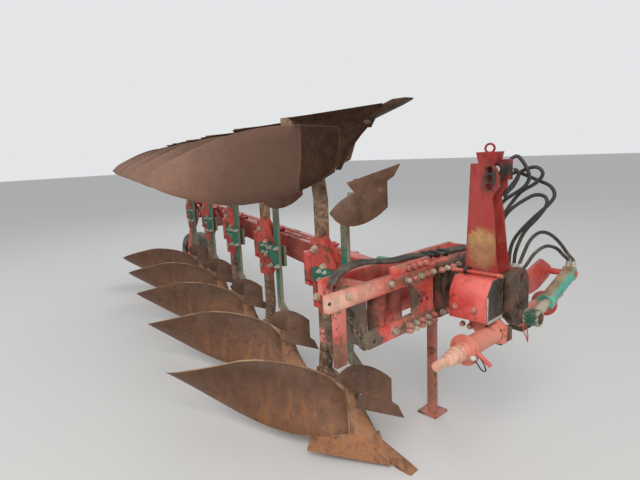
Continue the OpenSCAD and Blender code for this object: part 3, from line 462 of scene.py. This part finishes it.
# paints of the frame and the headstock
redPaint = paintedMetal("redPaint", paint=(0.5, 0.035, 0.028), faded=(0.62, 0.13, 0.1), chips=0.6)
boxPaint = paintedMetal("boxPaint", paint=(0.56, 0.045, 0.04), faded=(0.74, 0.16, 0.13), chips=0.66, dirt=0.6,
                        endCoat={"way": (1, 0, 0), "colour": (0.1, 0.085, 0.07), "low": 0.75, "high": 0.9})
towerPatches = [
    patch((195, 232, 1160), (0.1, 0.16, 0.11), (0.5, 0.28, 0.11), 0.28),  # ochre, low on the side plate
    patch((242, 232, 1150), (0.085, 0.16, 0.12), (0.44, 0.23, 0.1), 0.28),
    patch((214, 230, 1098), (0.12, 0.16, 0.12), (0.4, 0.19, 0.085), 0.4),
    patch((234, 290, 1446), (0.075, 0.2, 0.13), (0.06, 0.04, 0.03), 0.3),  # grease round the bores
    patch((276, 336, 1482), (0.06, 0.06, 0.09), (0.05, 0.04, 0.035), 0.2)]  # the hoses' holder
towerPaint = paintedMetal("towerPaint", paint=(0.27, 0.018, 0.016), faded=(0.34, 0.042, 0.034),
                          chips=0.66, dirt=0.62, patches=towerPatches)
framePatches = [
    patch((-80, -360, 850), (0.3, 0.24, 0.36), (0.13, 0.095, 0.07), 0.12),  # soil in the corner
    patch((14, -410, 1020), (0.1, 0.34, 0.07), (0.8, 0.38, 0.28), 0.5),  # bleached end of the upper bar, made lighter still as painted light
    patch((14, -545, 1018), (0.08, 0.18, 0.07), (0.76, 0.46, 0.34), 0.36),
    patch((14, -535, 740), (0.1, 0.1, 0.2), (0.24, 0.075, 0.05), 0.4),  # rust on the hanging plate
    patch((28, 10, 1016), (0.06, 0.4, 0.06), (0.22, 0.11, 0.08), 0.4),  # soiled clamp strips
    patch((20, 20, 792), (0.1, 0.34, 0.09), (0.17, 0.115, 0.08), 0.3),
    patch((42, 230, 905), (0.14, 0.2, 0.24), (0.14, 0.11, 0.07), 0.25),  # soil between the bars
    patch((10, -60, 905), (0.1, 0.16, 0.16), (0.13, 0.085, 0.06), 0.2),
    # painted shade: a darker red inside the frame, between the bars
    patch((-25, -170, 925), (0.07, 0.28, 0.22), (0.22, 0.05, 0.038), 0.35),
    patch((0, -330, 780), (0.14, 0.16, 0.1), (0.14, 0.1, 0.07), 0.2)]
# the front frame's reds are lighter than the other red paints: fading, and painted light on faces that turn
# to the key lamp
framePaint = paintedMetal("framePaint", paint=(0.56, 0.05, 0.04), faded=(0.72, 0.21, 0.165),
                          chips=0.585, dirt=0.47, patches=framePatches)
# the carriage's red is darker than the frame's: painted shade inside the frame, with soil
carriagePaint = paintedMetal("carriagePaint", paint=(0.36, 0.035, 0.03), faded=(0.48, 0.11, 0.08),
                             chips=0.56, dirt=0.44)
pinPatches = [patch((322, y, 768), (0.2, 0.2, 0.2), (0.78, 0.44, 0.32), 0.26) for y in (-235, 823)]
pinPaint = paintedMetal("pinPaint", paint=(0.5, 0.06, 0.045), faded=(0.66, 0.24, 0.17), chips=0.6, dirt=0.6,
                        patches=pinPatches)
leverPaint = paintedMetal("leverPaint", paint=(0.2, 0.03, 0.024), faded=(0.1, 0.065, 0.05),
                          rust=(0.06, 0.035, 0.025), mud=(0.15, 0.11, 0.08), chips=0.5, dirt=0.42)
standPaint = paintedMetal("standPaint", paint=(0.5, 0.14, 0.1), faded=(0.5, 0.22, 0.16), chips=0.58, dirt=0.5)

# paints of the cylinders, legs and clamps
# the turnover cylinder's greens are lighter than the clamps' green: fading, with a painted highlight
cylinderPaint = paintedMetal("cylinderPaint", paint=(0.012, 0.28, 0.2), faded=(0.16, 0.48, 0.38),
                             rust=(0.3, 0.13, 0.045), mud=(0.4, 0.33, 0.22), chips=0.6, dirt=0.52,
                             endCoat={"way": (-0.3, -0.45, 0.84), "colour": (0.42, 0.27, 0.15),
                                      "low": 0.35, "high": 0.8})
eyePatch = patch((428, 308, 818), (0.085, 0.085, 0.085), (0.035, 0.12, 0.085), 0.1)
rodPaint = paintedMetal("rodPaint", paint=(0.36, 0.3, 0.21), faded=(0.46, 0.4, 0.29), chips=0.56, dirt=0.5,
                        patches=[eyePatch])
greenPaint = paintedMetal("greenPaint", paint=(0.012, 0.23, 0.16), faded=(0.07, 0.36, 0.27),
                          rust=(0.2, 0.09, 0.035), mud=(0.26, 0.2, 0.12), chips=0.58, dirt=0.5)
legPaint = legSteel("legPaint", paint=(0.6, 0.085, 0.07), rust=(0.17, 0.08, 0.04), mud=(0.36, 0.25, 0.165),
                    paintEnds=0.19, soilStarts=0.25)
stalkPaint = legSteel("stalkPaint", paint=(0.02, 0.17, 0.11), rust=(0.12, 0.12, 0.075), mud=(0.32, 0.28, 0.2),
                      paintEnds=0.1, soilStarts=0.42, leading=0.8)

# steels, rubbers and soil
boardRust = boardSteel(
    "boardRust", low=(0.2, 0.092, 0.048), middle=(0.14, 0.066, 0.04), high=(0.08, 0.038, 0.018),
    streak=(0.3, 0.12, 0.04), upper=(0.125, 0.064, 0.043), tail=(0.24, 0.125, 0.082),
    paintedShade=(0.032, 0.014, 0.006), blotch=(0.06, 0.03, 0.016), blotchShare=0.45, rim=(0.5, 0.33, 0.2))
# on the upper row the shares and points are painted dark all over: painted shade, as on the boards' front
shareSteel = boardSteel(
    "shareSteel", low=(0.37, 0.175, 0.09), middle=(0.33, 0.18, 0.11), high=(0.33, 0.22, 0.15),
    streak=(0.42, 0.17, 0.06), upper=(0.05, 0.024, 0.012), tail=(0.05, 0.024, 0.012),
    paintedShade=(0.032, 0.014, 0.006), blotch=(0.15, 0.075, 0.042), blotchShare=0.85)
headSteel = rustySteel("headSteel", light=(0.3, 0.19, 0.12), dark=(0.12, 0.065, 0.04),
                       warm=(0.26, 0.12, 0.06), mud=(0.2, 0.13, 0.08), rough=0.45)
skimSteel = rustySteel("skimSteel", light=(0.15, 0.078, 0.048), dark=(0.085, 0.042, 0.026),
                       warm=(0.19, 0.085, 0.04), mud=(0.17, 0.105, 0.065), rough=0.5)
darkSteel = rustySteel("darkSteel", light=(0.12, 0.085, 0.06), dark=(0.04, 0.03, 0.024),
                       warm=(0.14, 0.06, 0.025), mud=(0.17, 0.13, 0.09), rough=0.5)
redBolt = rustySteel("redBolt", light=(0.58, 0.27, 0.22), dark=(0.34, 0.09, 0.07),
                     warm=(0.42, 0.22, 0.15), mud=(0.4, 0.3, 0.22), rough=0.4)
boltSteel = rustySteel("boltSteel", light=(0.54, 0.44, 0.34), dark=(0.24, 0.18, 0.13),
                       warm=(0.4, 0.22, 0.13), mud=(0.36, 0.27, 0.19), rough=0.4)
zincSteel = rustySteel("zincSteel", light=(0.6, 0.58, 0.5), dark=(0.36, 0.33, 0.27),
                       warm=(0.38, 0.28, 0.16), mud=(0.38, 0.32, 0.24), rough=0.36)
hoseRubber = rubber("hoseRubber", colour=(0.014, 0.013, 0.012), dust=(0.15, 0.125, 0.095),
                    low=0.42, high=0.66, settled=(1.0, 1.22))
tyreRubber = rubber("tyreRubber", colour=(0.035, 0.03, 0.026), dust=(0.17, 0.13, 0.09), low=0.34, high=0.6)
blackPlastic = rubber("blackPlastic", colour=(0.012, 0.012, 0.012), dust=(0.07, 0.06, 0.05),
                      low=0.5, high=0.8)
soil = cakedSoil("soil", light=(0.3, 0.23, 0.165), dark=(0.035, 0.026, 0.02))
print("stage: materials")


# from how many degrees an edge stays sharp
sharpFrom = {"bolt": 30, "solid": 38, "turned": 40, "handle": 50, "round": 60}


def finished(name, bm, material, body, kind="solid"):
    mesh = bpy.data.meshes.new(name)
    bm.to_mesh(mesh)
    bm.free()
    mesh.polygons.foreach_set("use_smooth", [True] * len(mesh.polygons))
    mesh.set_sharp_from_angle(angle=math.radians(sharpFrom[kind]))
    mesh.materials.append(material)
    piece = bpy.data.objects.new(name, mesh)
    bpy.context.scene.collection.objects.link(piece)
    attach(piece, body)
    return piece


# copies of the solids with softened edges; flat joins the loose triangles of flat faces first
merge = {"distance": 1e-5, "flatAngle": 0.6}


# every vertex keeps its place from its own body's point, for the wear steels
def markOwn(bm, k):
    own = bm.verts.layers.float_vector.new("own")
    start = atStation(k, 0, 0, 0)
    beam = plough["beamHeight"] / 1000
    for v in bm.verts:
        upper = v.co.z > beam
        v[own] = (v.co.x - start.x, 2 * beam - v.co.z if upper else v.co.z, 1.0 if upper else 0.0)


def softened(node, material, width, flat=True, segments=2, station=0, measured=False):
    bm = bmesh.new()
    bm.from_mesh(nodes[node].data)
    bmesh.ops.remove_doubles(bm, verts=bm.verts, dist=merge["distance"])
    if flat:
        limit = math.radians(merge["flatAngle"])
        bmesh.ops.dissolve_limit(bm, angle_limit=limit, verts=bm.verts, edges=bm.edges)
    wear = bm.faces.layers.float.new("wear")
    rim = bm.verts.layers.float.new("rim")
    sharp = math.radians(sharpFrom["solid"])
    corners = [e for e in bm.edges if len(e.link_faces) == 2 and e.calc_face_angle(0) > sharp]
    for corner in corners:
        for v in corner.verts:
            v[rim] = 1
    made = bmesh.ops.bevel(bm, geom=corners, offset=width, offset_type="OFFSET", affect="EDGES",
                           segments=segments, profile=0.5, material=-1, clamp_overlap=True)
    for face in made["faces"]:
        face[wear] = 1
    if measured:
        markOwn(bm, station)
    piece = finished(node + "_worn", bm, material, bodyOf[node])
    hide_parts(node)


# material and width of the soft edge, in metres
coats = {
    "tower": (towerPaint, 0.003), "cover_box": (boxPaint, 0.003), "cross_shaft": (pinPaint, 0.0015),
    "cylinder_bracket": (redPaint, 0.002), "front_frame": (framePaint, 0.002),
    "carriage": (carriagePaint, 0.003), "stand_leg": (standPaint, 0.002),
    "main_beam": (redPaint, 0.003), "link_rod": (redPaint, 0.002), "wheel_arm": (redPaint, 0.002),
    "turn_barrel": (cylinderPaint, 0.001), "width_barrel": (greenPaint, 0.001),
    "headstock_housing": (darkSteel, 0.002), "turnover_shaft": (leverPaint, 0.002),
    "turn_rod": (rodPaint, 0.001), "width_rod": (darkSteel, 0.001), "wheel_rim": (darkSteel, 0.002)}
stationCoats = {
    "leg": {"material": legPaint, "width": 0.003},
    "stalk": {"material": stalkPaint, "width": 0.002},
    "boards": {"material": boardRust, "width": 0.0022, "flat": False, "segments": 1, "measured": True},
    "shares": {"material": shareSteel, "width": 0.0015, "flat": False, "segments": 1, "measured": True},
    "skimmers": {"material": skimSteel, "width": 0.0012, "flat": False, "segments": 1}}
hoseCoat = {"material": hoseRubber, "width": 0.0005, "flat": False, "segments": 1}
tyreCoat = {"material": tyreRubber, "width": 0.012, "segments": 3}
for node, (material, width) in coats.items():
    softened(node, material, width)
for k in stations:
    for part, coat in stationCoats.items():
        softened(f"{part}_{k}", station=k, **coat)
for node in ("headstock_hoses", "frame_hoses"):
    softened(node, **hoseCoat)
softened("wheel_tyre", **tyreCoat)
print("stage: softened solids")


def turned(way, spin=0.0):
    return Vector(way).to_track_quat("Z", "Y").to_matrix().to_4x4() @ Matrix.Rotation(spin, 4, "Z")


def addCone(bm, start, turn, low, high, rise, sides):
    middle = Matrix.Translation(start) @ turn @ Matrix.Translation((0, 0, rise / 2))
    bmesh.ops.create_cone(bm, cap_ends=True, cap_tris=False, segments=sides, radius1=low, radius2=high,
                          depth=rise, matrix=middle)


# a bolt's parts as shares of the size across its flats; it is sunk a little, so that it seats
boltForm = {"sunk": 0.001, "washerTall": 0.12, "washerTop": 0.96, "washerSides": 14,
            "chamfer": 0.2, "chamferTop": 0.84, "studLow": 0.3, "studHigh": 0.26, "studSides": 10,
            "firstSpin": 0.4, "spin": 1.7}


def addBolt(bm, place, way, spin, across, head=0.6, washer=1.3, stud=0.0):
    form = boltForm
    turn = turned(way, spin)
    out = (turn @ Vector((0, 0, 1, 0))).to_3d()
    start = Vector(place) - out * form["sunk"]
    lift = 0.0
    if washer:
        lift = across * form["washerTall"]
        radius = across * washer / 2
        addCone(bm, start, turn, radius, radius * form["washerTop"], lift + form["sunk"], form["washerSides"])
    radius = across / 2 / math.cos(math.pi / 6)
    tall = across * head
    straight = tall * (1 - form["chamfer"])
    addCone(bm, start + out * lift, turn, radius, radius, straight, 6)
    top = radius * form["chamferTop"]
    addCone(bm, start + out * (lift + straight), turn, radius, top, tall - straight, 6)
    if stud:
        addCone(bm, start + out * (lift + tall), turn, across * form["studLow"], across * form["studHigh"],
                across * stud, form["studSides"])


def boltGroup(name, body, material, places, way, **size):
    bm = bmesh.new()
    for i, place in enumerate(places):
        addBolt(bm, place, way, boltForm["firstSpin"] + boltForm["spin"] * i, **size)
    finished(name, bm, material, body, "bolt")


# one frame for each point of a tube, turned as little as possible from the one before
def tubeFrames(points):
    points = [Vector(p) for p in points]
    last = len(points) - 1
    side = None
    frames = []
    for i, p in enumerate(points):
        along = (points[min(i + 1, last)] - points[max(i - 1, 0)]).normalized()
        if side is None:
            side = along.orthogonal()
        side = (side - along * side.dot(along)).normalized()
        turn = Matrix((side.cross(along), side, along)).transposed().to_4x4()
        frames.append(Matrix.Translation(p) @ turn)
    return frames


def addTube(bm, points, radius, sides=8):
    frames = tubeFrames(points)
    before = set(bm.faces)
    ring = bmesh.ops.create_circle(bm, cap_ends=True, segments=sides, radius=radius, matrix=frames[0])
    start = end = ring["verts"][0].link_faces[0]
    for a, b in zip(frames, frames[1:]):
        grown = bmesh.ops.extrude_face_region(bm, geom=[end])["geom"]
        if end is not start:  # the first face stays, to close the tube
            bm.faces.remove(end)
        end = next(part for part in grown if isinstance(part, bmesh.types.BMFace))
        bmesh.ops.transform(bm, matrix=b @ a.inverted(), verts=end.verts)
    bmesh.ops.recalc_face_normals(bm, faces=[face for face in bm.faces if face not in before])


curveSteps = 5


# a smooth curve through the points
def bend(points):
    points = [Vector(p) for p in points]
    curve = []
    for i in range(len(points) - 1):
        a, b, c, d = (points[max(i - 1, 0)], points[i], points[i + 1], points[min(i + 2, len(points) - 1)])
        for step in range(curveSteps):
            u = step / curveSteps
            curve.append(0.5 * (2 * b + (c - a) * u + (2 * a - 5 * b + 4 * c - d) * u ** 2
                                + (3 * b - a - 3 * c + d) * u ** 3))
    return curve + [points[-1]]


def addSlab(bm, low, high, rim):
    low, high = Vector(low), Vector(high)
    place = Matrix.Translation((low + high) / 2) @ Matrix.Diagonal((*(high - low), 1))
    made = bmesh.ops.create_cube(bm, size=1, matrix=place)
    corners = {e for v in made["verts"] for e in v.link_edges}
    bmesh.ops.bevel(bm, geom=list(corners), offset=rim, offset_type="OFFSET", affect="EDGES", segments=2,
                    profile=0.5, material=-1, clamp_overlap=True)


# a lump of soil: a ball with coarse and fine swells
lumpForm = {"coarse": 1.4, "coarseSwell": 0.35, "fine": 4.5, "fineSwell": 0.22, "seedShift": (3.7, 1.3, 7.1)}


def addLump(bm, place, size, seed, flat):
    form = lumpForm
    shift = Vector(form["seedShift"]) * seed
    ball = bmesh.ops.create_icosphere(bm, subdivisions=3, radius=1)
    for v in ball["verts"]:
        swell = 1 + form["coarseSwell"] * noise.noise(v.co * form["coarse"] + shift)
        swell += form["fineSwell"] * noise.noise(v.co * form["fine"] + shift)
        v.co = Vector(place) + Vector((v.co.x * flat[0], v.co.y * flat[1], v.co.z * flat[2])) * size * swell


# nuts along the front frame's clamp strips, and on the thicker flange beside them
clamp = {"nut": {"across": 0.023, "head": 0.7, "stud": 0.25}, "pitch": 50,
         "faces": {"strip": 28, "flange": 42.3}, "ends": {"strip": 125, "flange": 310},
         "heights": {"upper": 1016, "low": 803, "lowest": 776},
         "starts": {"upper": {"strip": -94, "flange": 157}, "low": {"strip": -89, "flange": 162},
                    "lowest": {"strip": -89}}}


def nutRow(row):
    places = []
    for plate, start in clamp["starts"][row].items():
        for y in range(start, clamp["ends"][plate], clamp["pitch"]):
            places.append(at(clamp["faces"][plate], y, clamp["heights"][row]))
    return places


upperNuts = nutRow("upper")
lowNuts = nutRow("low") + nutRow("lowest")
bareNuts = upperNuts[::2] + lowNuts[1::2]
paintedNuts = upperNuts[1::2] + lowNuts[::2]
boltGroup("clamp_bolts", "frame", boltSteel, bareNuts, (1, 0, 0), **clamp["nut"])
boltGroup("clamp_bolts_painted", "frame", redBolt, paintedNuts, (1, 0, 0), **clamp["nut"])

# rail over the upper clamp strip, with its bolts
rail = {"low": (-9, -176, 1051), "high": (19, 102, 1087), "rim": 0.003, "boltPlaces": (-84, -38, 10, 58),
        "boltHeight": 1069, "bolt": {"across": 0.023, "head": 0.7}}
bm = bmesh.new()
addSlab(bm, at(*rail["low"]), at(*rail["high"]), rail["rim"])
finished("clamp_rail", bm, framePaint, "frame")
railBolts = [at(rail["high"][0], y, rail["boltHeight"]) for y in rail["boltPlaces"]]
boltGroup("rail_bolts", "frame", redBolt, railBolts, (1, 0, 0), **rail["bolt"])

# single bolts on the front frame's bars, and plugs in its spare holes
barBolts = {"bar_bolt": {"places": [(14, -181, 800)], "size": {"across": 0.032, "head": 0.6}},
            "bar_end_bolts": {"places": [(14, -196, 1018), (14, -470, 1030)],
                              "size": {"across": 0.026, "head": 0.5}}}
plug = {"holes": [(28, 10, 893), (28, 59, 896), (14, -317, 790), (14, -576, 1023)],
        "sunk": 0.5, "low": 0.0085, "high": 0.0075, "rise": 0.0016, "sides": 18}
for name, bolts in barBolts.items():
    boltGroup(name, "frame", boltSteel, [at(*p) for p in bolts["places"]], (1, 0, 0), **bolts["size"])
bm = bmesh.new()
for x, y, z in plug["holes"]:
    start = at(x - plug["sunk"], y, z)
    addCone(bm, start, turned((1, 0, 0)), plug["low"], plug["high"], plug["rise"], plug["sides"])
finished("hole_plugs", bm, blackPlastic, "frame", "turned")

# bolts of the headstock's cover box and of both sides of its bracket
headstockBolts = {
    "box_bolts": {"places": [(178, 54, 888), (276, 54, 887)], "way": (0, -1, 0),
                  "size": {"across": 0.022, "head": 0.5, "washer": 1.5}},
    "bracket_bolts": {"places": [(163, 153.7, 773), (200, 153.7, 768)], "way": (0, -1, 0),
                      "size": {"across": 0.022}},
    "bracket_bolts_far": {"places": [(163, 434.3, 773), (200, 434.3, 768)], "way": (0, 1, 0),
                          "size": {"across": 0.022}}}
for name, bolts in headstockBolts.items():
    boltGroup(name, "headstock", redBolt, [at(*p) for p in bolts["places"]], bolts["way"], **bolts["size"])

# rod along the tower's foot, with its nut and plastic clip
foot = {"stops": (112, 118, 240, 342, 348), "y": 162, "z": 1028, "radius": 0.009,
        "nutStart": 104, "nut": 0.012,
        "clip": [(178, 150, 1022), (176, 144, 1034), (178, 150, 1044), (184, 164, 1046), (190, 178, 1036)],
        "clipRadius": 0.007, "clipLow": (166, 150, 1018), "clipHigh": (196, 178, 1024), "clipRim": 0.001}
bm = bmesh.new()
addTube(bm, [at(x, foot["y"], foot["z"]) for x in foot["stops"]], foot["radius"], 12)
nutStart = at(foot["nutStart"], foot["y"], foot["z"])
addCone(bm, nutStart, turned((1, 0, 0)), foot["nut"], foot["nut"], foot["nut"], 6)
finished("foot_rod", bm, pinPaint, "headstock", "turned")
bm = bmesh.new()
addTube(bm, bend([at(*p) for p in foot["clip"]]), foot["clipRadius"])
addSlab(bm, at(*foot["clipLow"]), at(*foot["clipHigh"]), foot["clipRim"])
finished("foot_clip", bm, blackPlastic, "headstock", "turned")

# sill of the cover box: its lower lip and the upright beside its end
sill = {"lip": ((326, 66, 828), (335.5, 196, 842)), "lipRim": 0.002,
        "upright": ((330, 58, 842), (335, 66, 950)), "uprightRim": 0.001}
bm = bmesh.new()
for part in ("lip", "upright"):
    low, high = sill[part]
    addSlab(bm, at(*low), at(*high), sill[part + "Rim"])
finished("box_sill", bm, zincSteel, "headstock")

# linch pin with its handle and wire on the lower-link flange
linch = {"wire": [(360, -124, 748), (382, -128, 742), (396, -128, 726), (410, -128, 712), (428, -130, 716),
                  (418, -130, 744), (398, -130, 768)], "wireRadius": 0.0028,
         "handle": [(392, -128, 781), (396, -128, 777), (444, -128, 742), (448, -128, 738)],
         "handleRadius": 0.0085,
         "knob": (372, -128, 752), "knobSize": 0.014, "knobFlat": (0.9, 1.1, 0.9)}
bm = bmesh.new()
addTube(bm, bend([at(*p) for p in linch["wire"]]), linch["wireRadius"])
finished("linch_wire", bm, blackPlastic, "headstock", "round")
bm = bmesh.new()
addTube(bm, [at(*p) for p in linch["handle"]], linch["handleRadius"], 12)
finished("linch_handle", bm, redPaint, "headstock", "handle")
bm = bmesh.new()
addLump(bm, at(*linch["knob"]), linch["knobSize"], 1, linch["knobFlat"])
finished("linch_knob", bm, zincSteel, "headstock", "round")

# couplings of the hoses on the block, the tower's holder and the turnover cylinder: place, way out
couplings = {"block": [((270, 392, 1010), (0, 0, 1)), ((296, 390, 1010), (0, 0, 1)),
                       ((322, 392, 1010), (0, 0, 1)), ((300, 414, 985), (0, 1, 0))],
             "holder": [((268, 350.5, 1512), (0, 1, 0)), ((284, 350.5, 1478), (0, 1, 0)),
                        ((272, 350.5, 1454), (0, 1, 0))],
             "cylinder": [((442, 740, 973), (0, 0, 1)), ((417, 740, 973), (0, 0, 1))]}
coupling = {"nut": {"from": -0.001, "low": 0.0125, "high": 0.0125, "rise": 0.012, "sides": 6},
            "collar": {"from": 0.011, "low": 0.010625, "high": 0.010625, "rise": 0.003, "sides": 14},
            "sleeve": {"from": 0.014, "low": 0.01156, "high": 0.0102, "rise": 0.015, "sides": 14}}
for name, fittings in couplings.items():
    bm = bmesh.new()
    for place, way in fittings:
        for part in coupling.values():
            start = at(*place) + Vector(way) * part["from"]
            addCone(bm, start, turned(way), part["low"], part["high"], part["rise"], part["sides"])
    finished(f"{name}_couplings", bm, zincSteel, "headstock", "turned")

# dark wraps that hold the three hoses on the front frame together, each a row of wire loops
wrap = {"wire": 0.0034, "rows": 5, "pitch": 0.0052, "wide": 37, "tall": 11.5, "slant": -0.35,
        "middles": [(-57, 178, 1074.5), (-50, 236, 1071.5), (-40, 300, 1069.5)],
        "loop": [(-1, -0.2), (-0.97, 0.7), (-0.8, 1), (0, 1.06), (0.8, 1), (0.97, 0.7), (1, -0.2),
                 (0.9, -0.9), (0, -1), (-0.9, -0.9), (-1, -0.2)]}
loop = [Vector((a * wrap["wide"], a * wrap["wide"] * wrap["slant"], b * wrap["tall"])) / 1000
        for a, b in wrap["loop"]]
for i, middle in enumerate(wrap["middles"], 1):
    bm = bmesh.new()
    for row in range(wrap["rows"]):
        shift = Vector((0, (row - wrap["rows"] // 2) * wrap["pitch"], 0))
        addTube(bm, [at(*middle) + shift + p for p in loop], wrap["wire"], 6)
    finished(f"hose_wrap_{i}", bm, blackPlastic, "frame", "round")

# end of the crank's pin in the rod's eye, and the clip that hangs behind it, with y and z of its two strands
crankPin = {"end": (460, 308.2, 818.1), "size": {"across": 0.034, "head": 0.12, "washer": 1.5},
            "clipAt": 381, "clipWire": 0.003,
            "strands": [[(306, 796), (312, 766), (326, 730), (350, 700), (366, 672)],
                        [(318, 794), (338, 764), (356, 734), (367, 702), (366, 672)]]}
boltGroup("eye_pin_end", "turn_rod", darkSteel, [at(*crankPin["end"])], (1, 0, 0), **crankPin["size"])
bm = bmesh.new()
for strand in crankPin["strands"]:
    addTube(bm, bend([at(crankPin["clipAt"], y, z) for y, z in strand]), crankPin["clipWire"])
finished("pin_clip", bm, redPaint, "frame", "round")

# flat heads on the points and the skimmers of every station, below the beam and mirrored above it
pointHead = {"places": [(-238, -29, 86)], "way": (0.34, -0.41, 0.85), "sunk": 0.001,
             "cones": [{"lift": 0, "low": 0.017, "high": 0.015, "rise": 0.003, "sides": 18},
                       {"lift": 0.003, "low": 0.009, "high": 0.007, "rise": 0.002, "sides": 12}]}
skimHead = {"places": [(-133, -74, 401), (-182, -131, 429)], "way": (0.75, -0.66, 0), "sunk": 0.0012,
            "cones": [{"lift": 0, "low": 0.011, "high": 0.0095, "rise": 0.0022, "sides": 16}]}

# nuts and bolts of every station: how far left of its point, then x and the height over the beam's middle
stationBolts = {
    "leg_bolts": {"material": boltSteel, "left": 50, "size": {"across": 0.034, "head": 0.5, "washer": 1.45},
                  "spots": [(-660, 45), (-660, -45), (-725, 142), (-725, -142)]},
    "leg_pins": {"material": headSteel, "left": 62, "size": {"across": 0.036, "head": 0.4, "washer": 1.5},
                 "spots": [(-666, 354), (-666, 247), (-666, -354), (-666, -247)]},
    "clamp_nuts": {"material": zincSteel, "left": -129,
                   "size": {"across": 0.022, "head": 0.8, "washer": 1.4, "stud": 0.7},
                   "spots": [(-381, -62), (-381, 62), (-309, -62), (-309, 62)]},
    "arm_nuts": {"material": zincSteel, "left": 28,
                 "size": {"across": 0.02, "head": 0.7, "washer": 1.3, "stud": 0.5},
                 "spots": [(-670, -24), (-670, 24), (-620, -24), (-620, 24)]}}


def flatHeads(name, k, head, material):
    bm = bmesh.new()
    a, b, c = head["way"]
    for x, y, z in head["places"]:
        for height, rising in ((z, c), (mirroredHeight(z), -c)):
            out = Vector((a, b, rising)).normalized()
            start = atStation(k, x, y, height) - out * head["sunk"]
            for cone in head["cones"]:
                place = start + out * cone["lift"]
                addCone(bm, place, turned(out), cone["low"], cone["high"], cone["rise"], cone["sides"])
    finished(name, bm, material, bodyOf[f"leg_{k}"], "turned")


for k in stations:
    flatHeads(f"point_heads_{k}", k, pointHead, headSteel)
    flatHeads(f"flush_heads_{k}", k, skimHead, skimSteel)
    for name, bolts in stationBolts.items():
        places = [atStation(k, x, bolts["left"], plough["beamHeight"] + rise) for x, rise in bolts["spots"]]
        boltGroup(f"{name}_{k}", bodyOf[f"leg_{k}"], bolts["material"], places, (0, -1, 0), **bolts["size"])
print("stage: fasteners")

# soil caught in the front frame's corner and on the legs: x, z and size have a start, a spread and a step
frameSoil = {"lumps": 30, "x": (-186, 170, 0.618), "y": -347, "z": (772, 225, 0.381),
             "size": (0.014, 0.009, 0.73), "flat": (1.3, 0.55, 1.3)}
legSoil = {"lumps": 7, "x": (-690, 50, 0.38), "y": 60, "z": (262, 190, 0.618),
           "size": (0.013, 0.008, 0.7), "flat": (1, 0.5, 1.4)}
soilShift = {"x": 0.2, "z": 0.1, "seed": 9}  # so that no two legs carry the same soil


def scattered(span, i, shift=0.0):
    start, spread, step = span
    return start + spread * ((i * step + shift) % 1)


def lumpsOf(heap, k=0):
    for i in range(heap["lumps"]):
        x = scattered(heap["x"], i, soilShift["x"] * k)
        z = scattered(heap["z"], i, soilShift["z"] * k)
        yield (x, heap["y"], z), scattered(heap["size"], i), i + soilShift["seed"] * k


bm = bmesh.new()
for place, size, seed in lumpsOf(frameSoil):
    addLump(bm, at(*place), size, seed, frameSoil["flat"])
finished("frame_soil", bm, soil, "frame", "round")
for k in stations:
    bm = bmesh.new()
    for place, size, seed in lumpsOf(legSoil, k):
        addLump(bm, atStation(k, *place), size, seed, legSoil["flat"])
    finished(f"leg_soil_{k}", bm, soil, bodyOf[f"leg_{k}"], "round")
print("stage: soil")
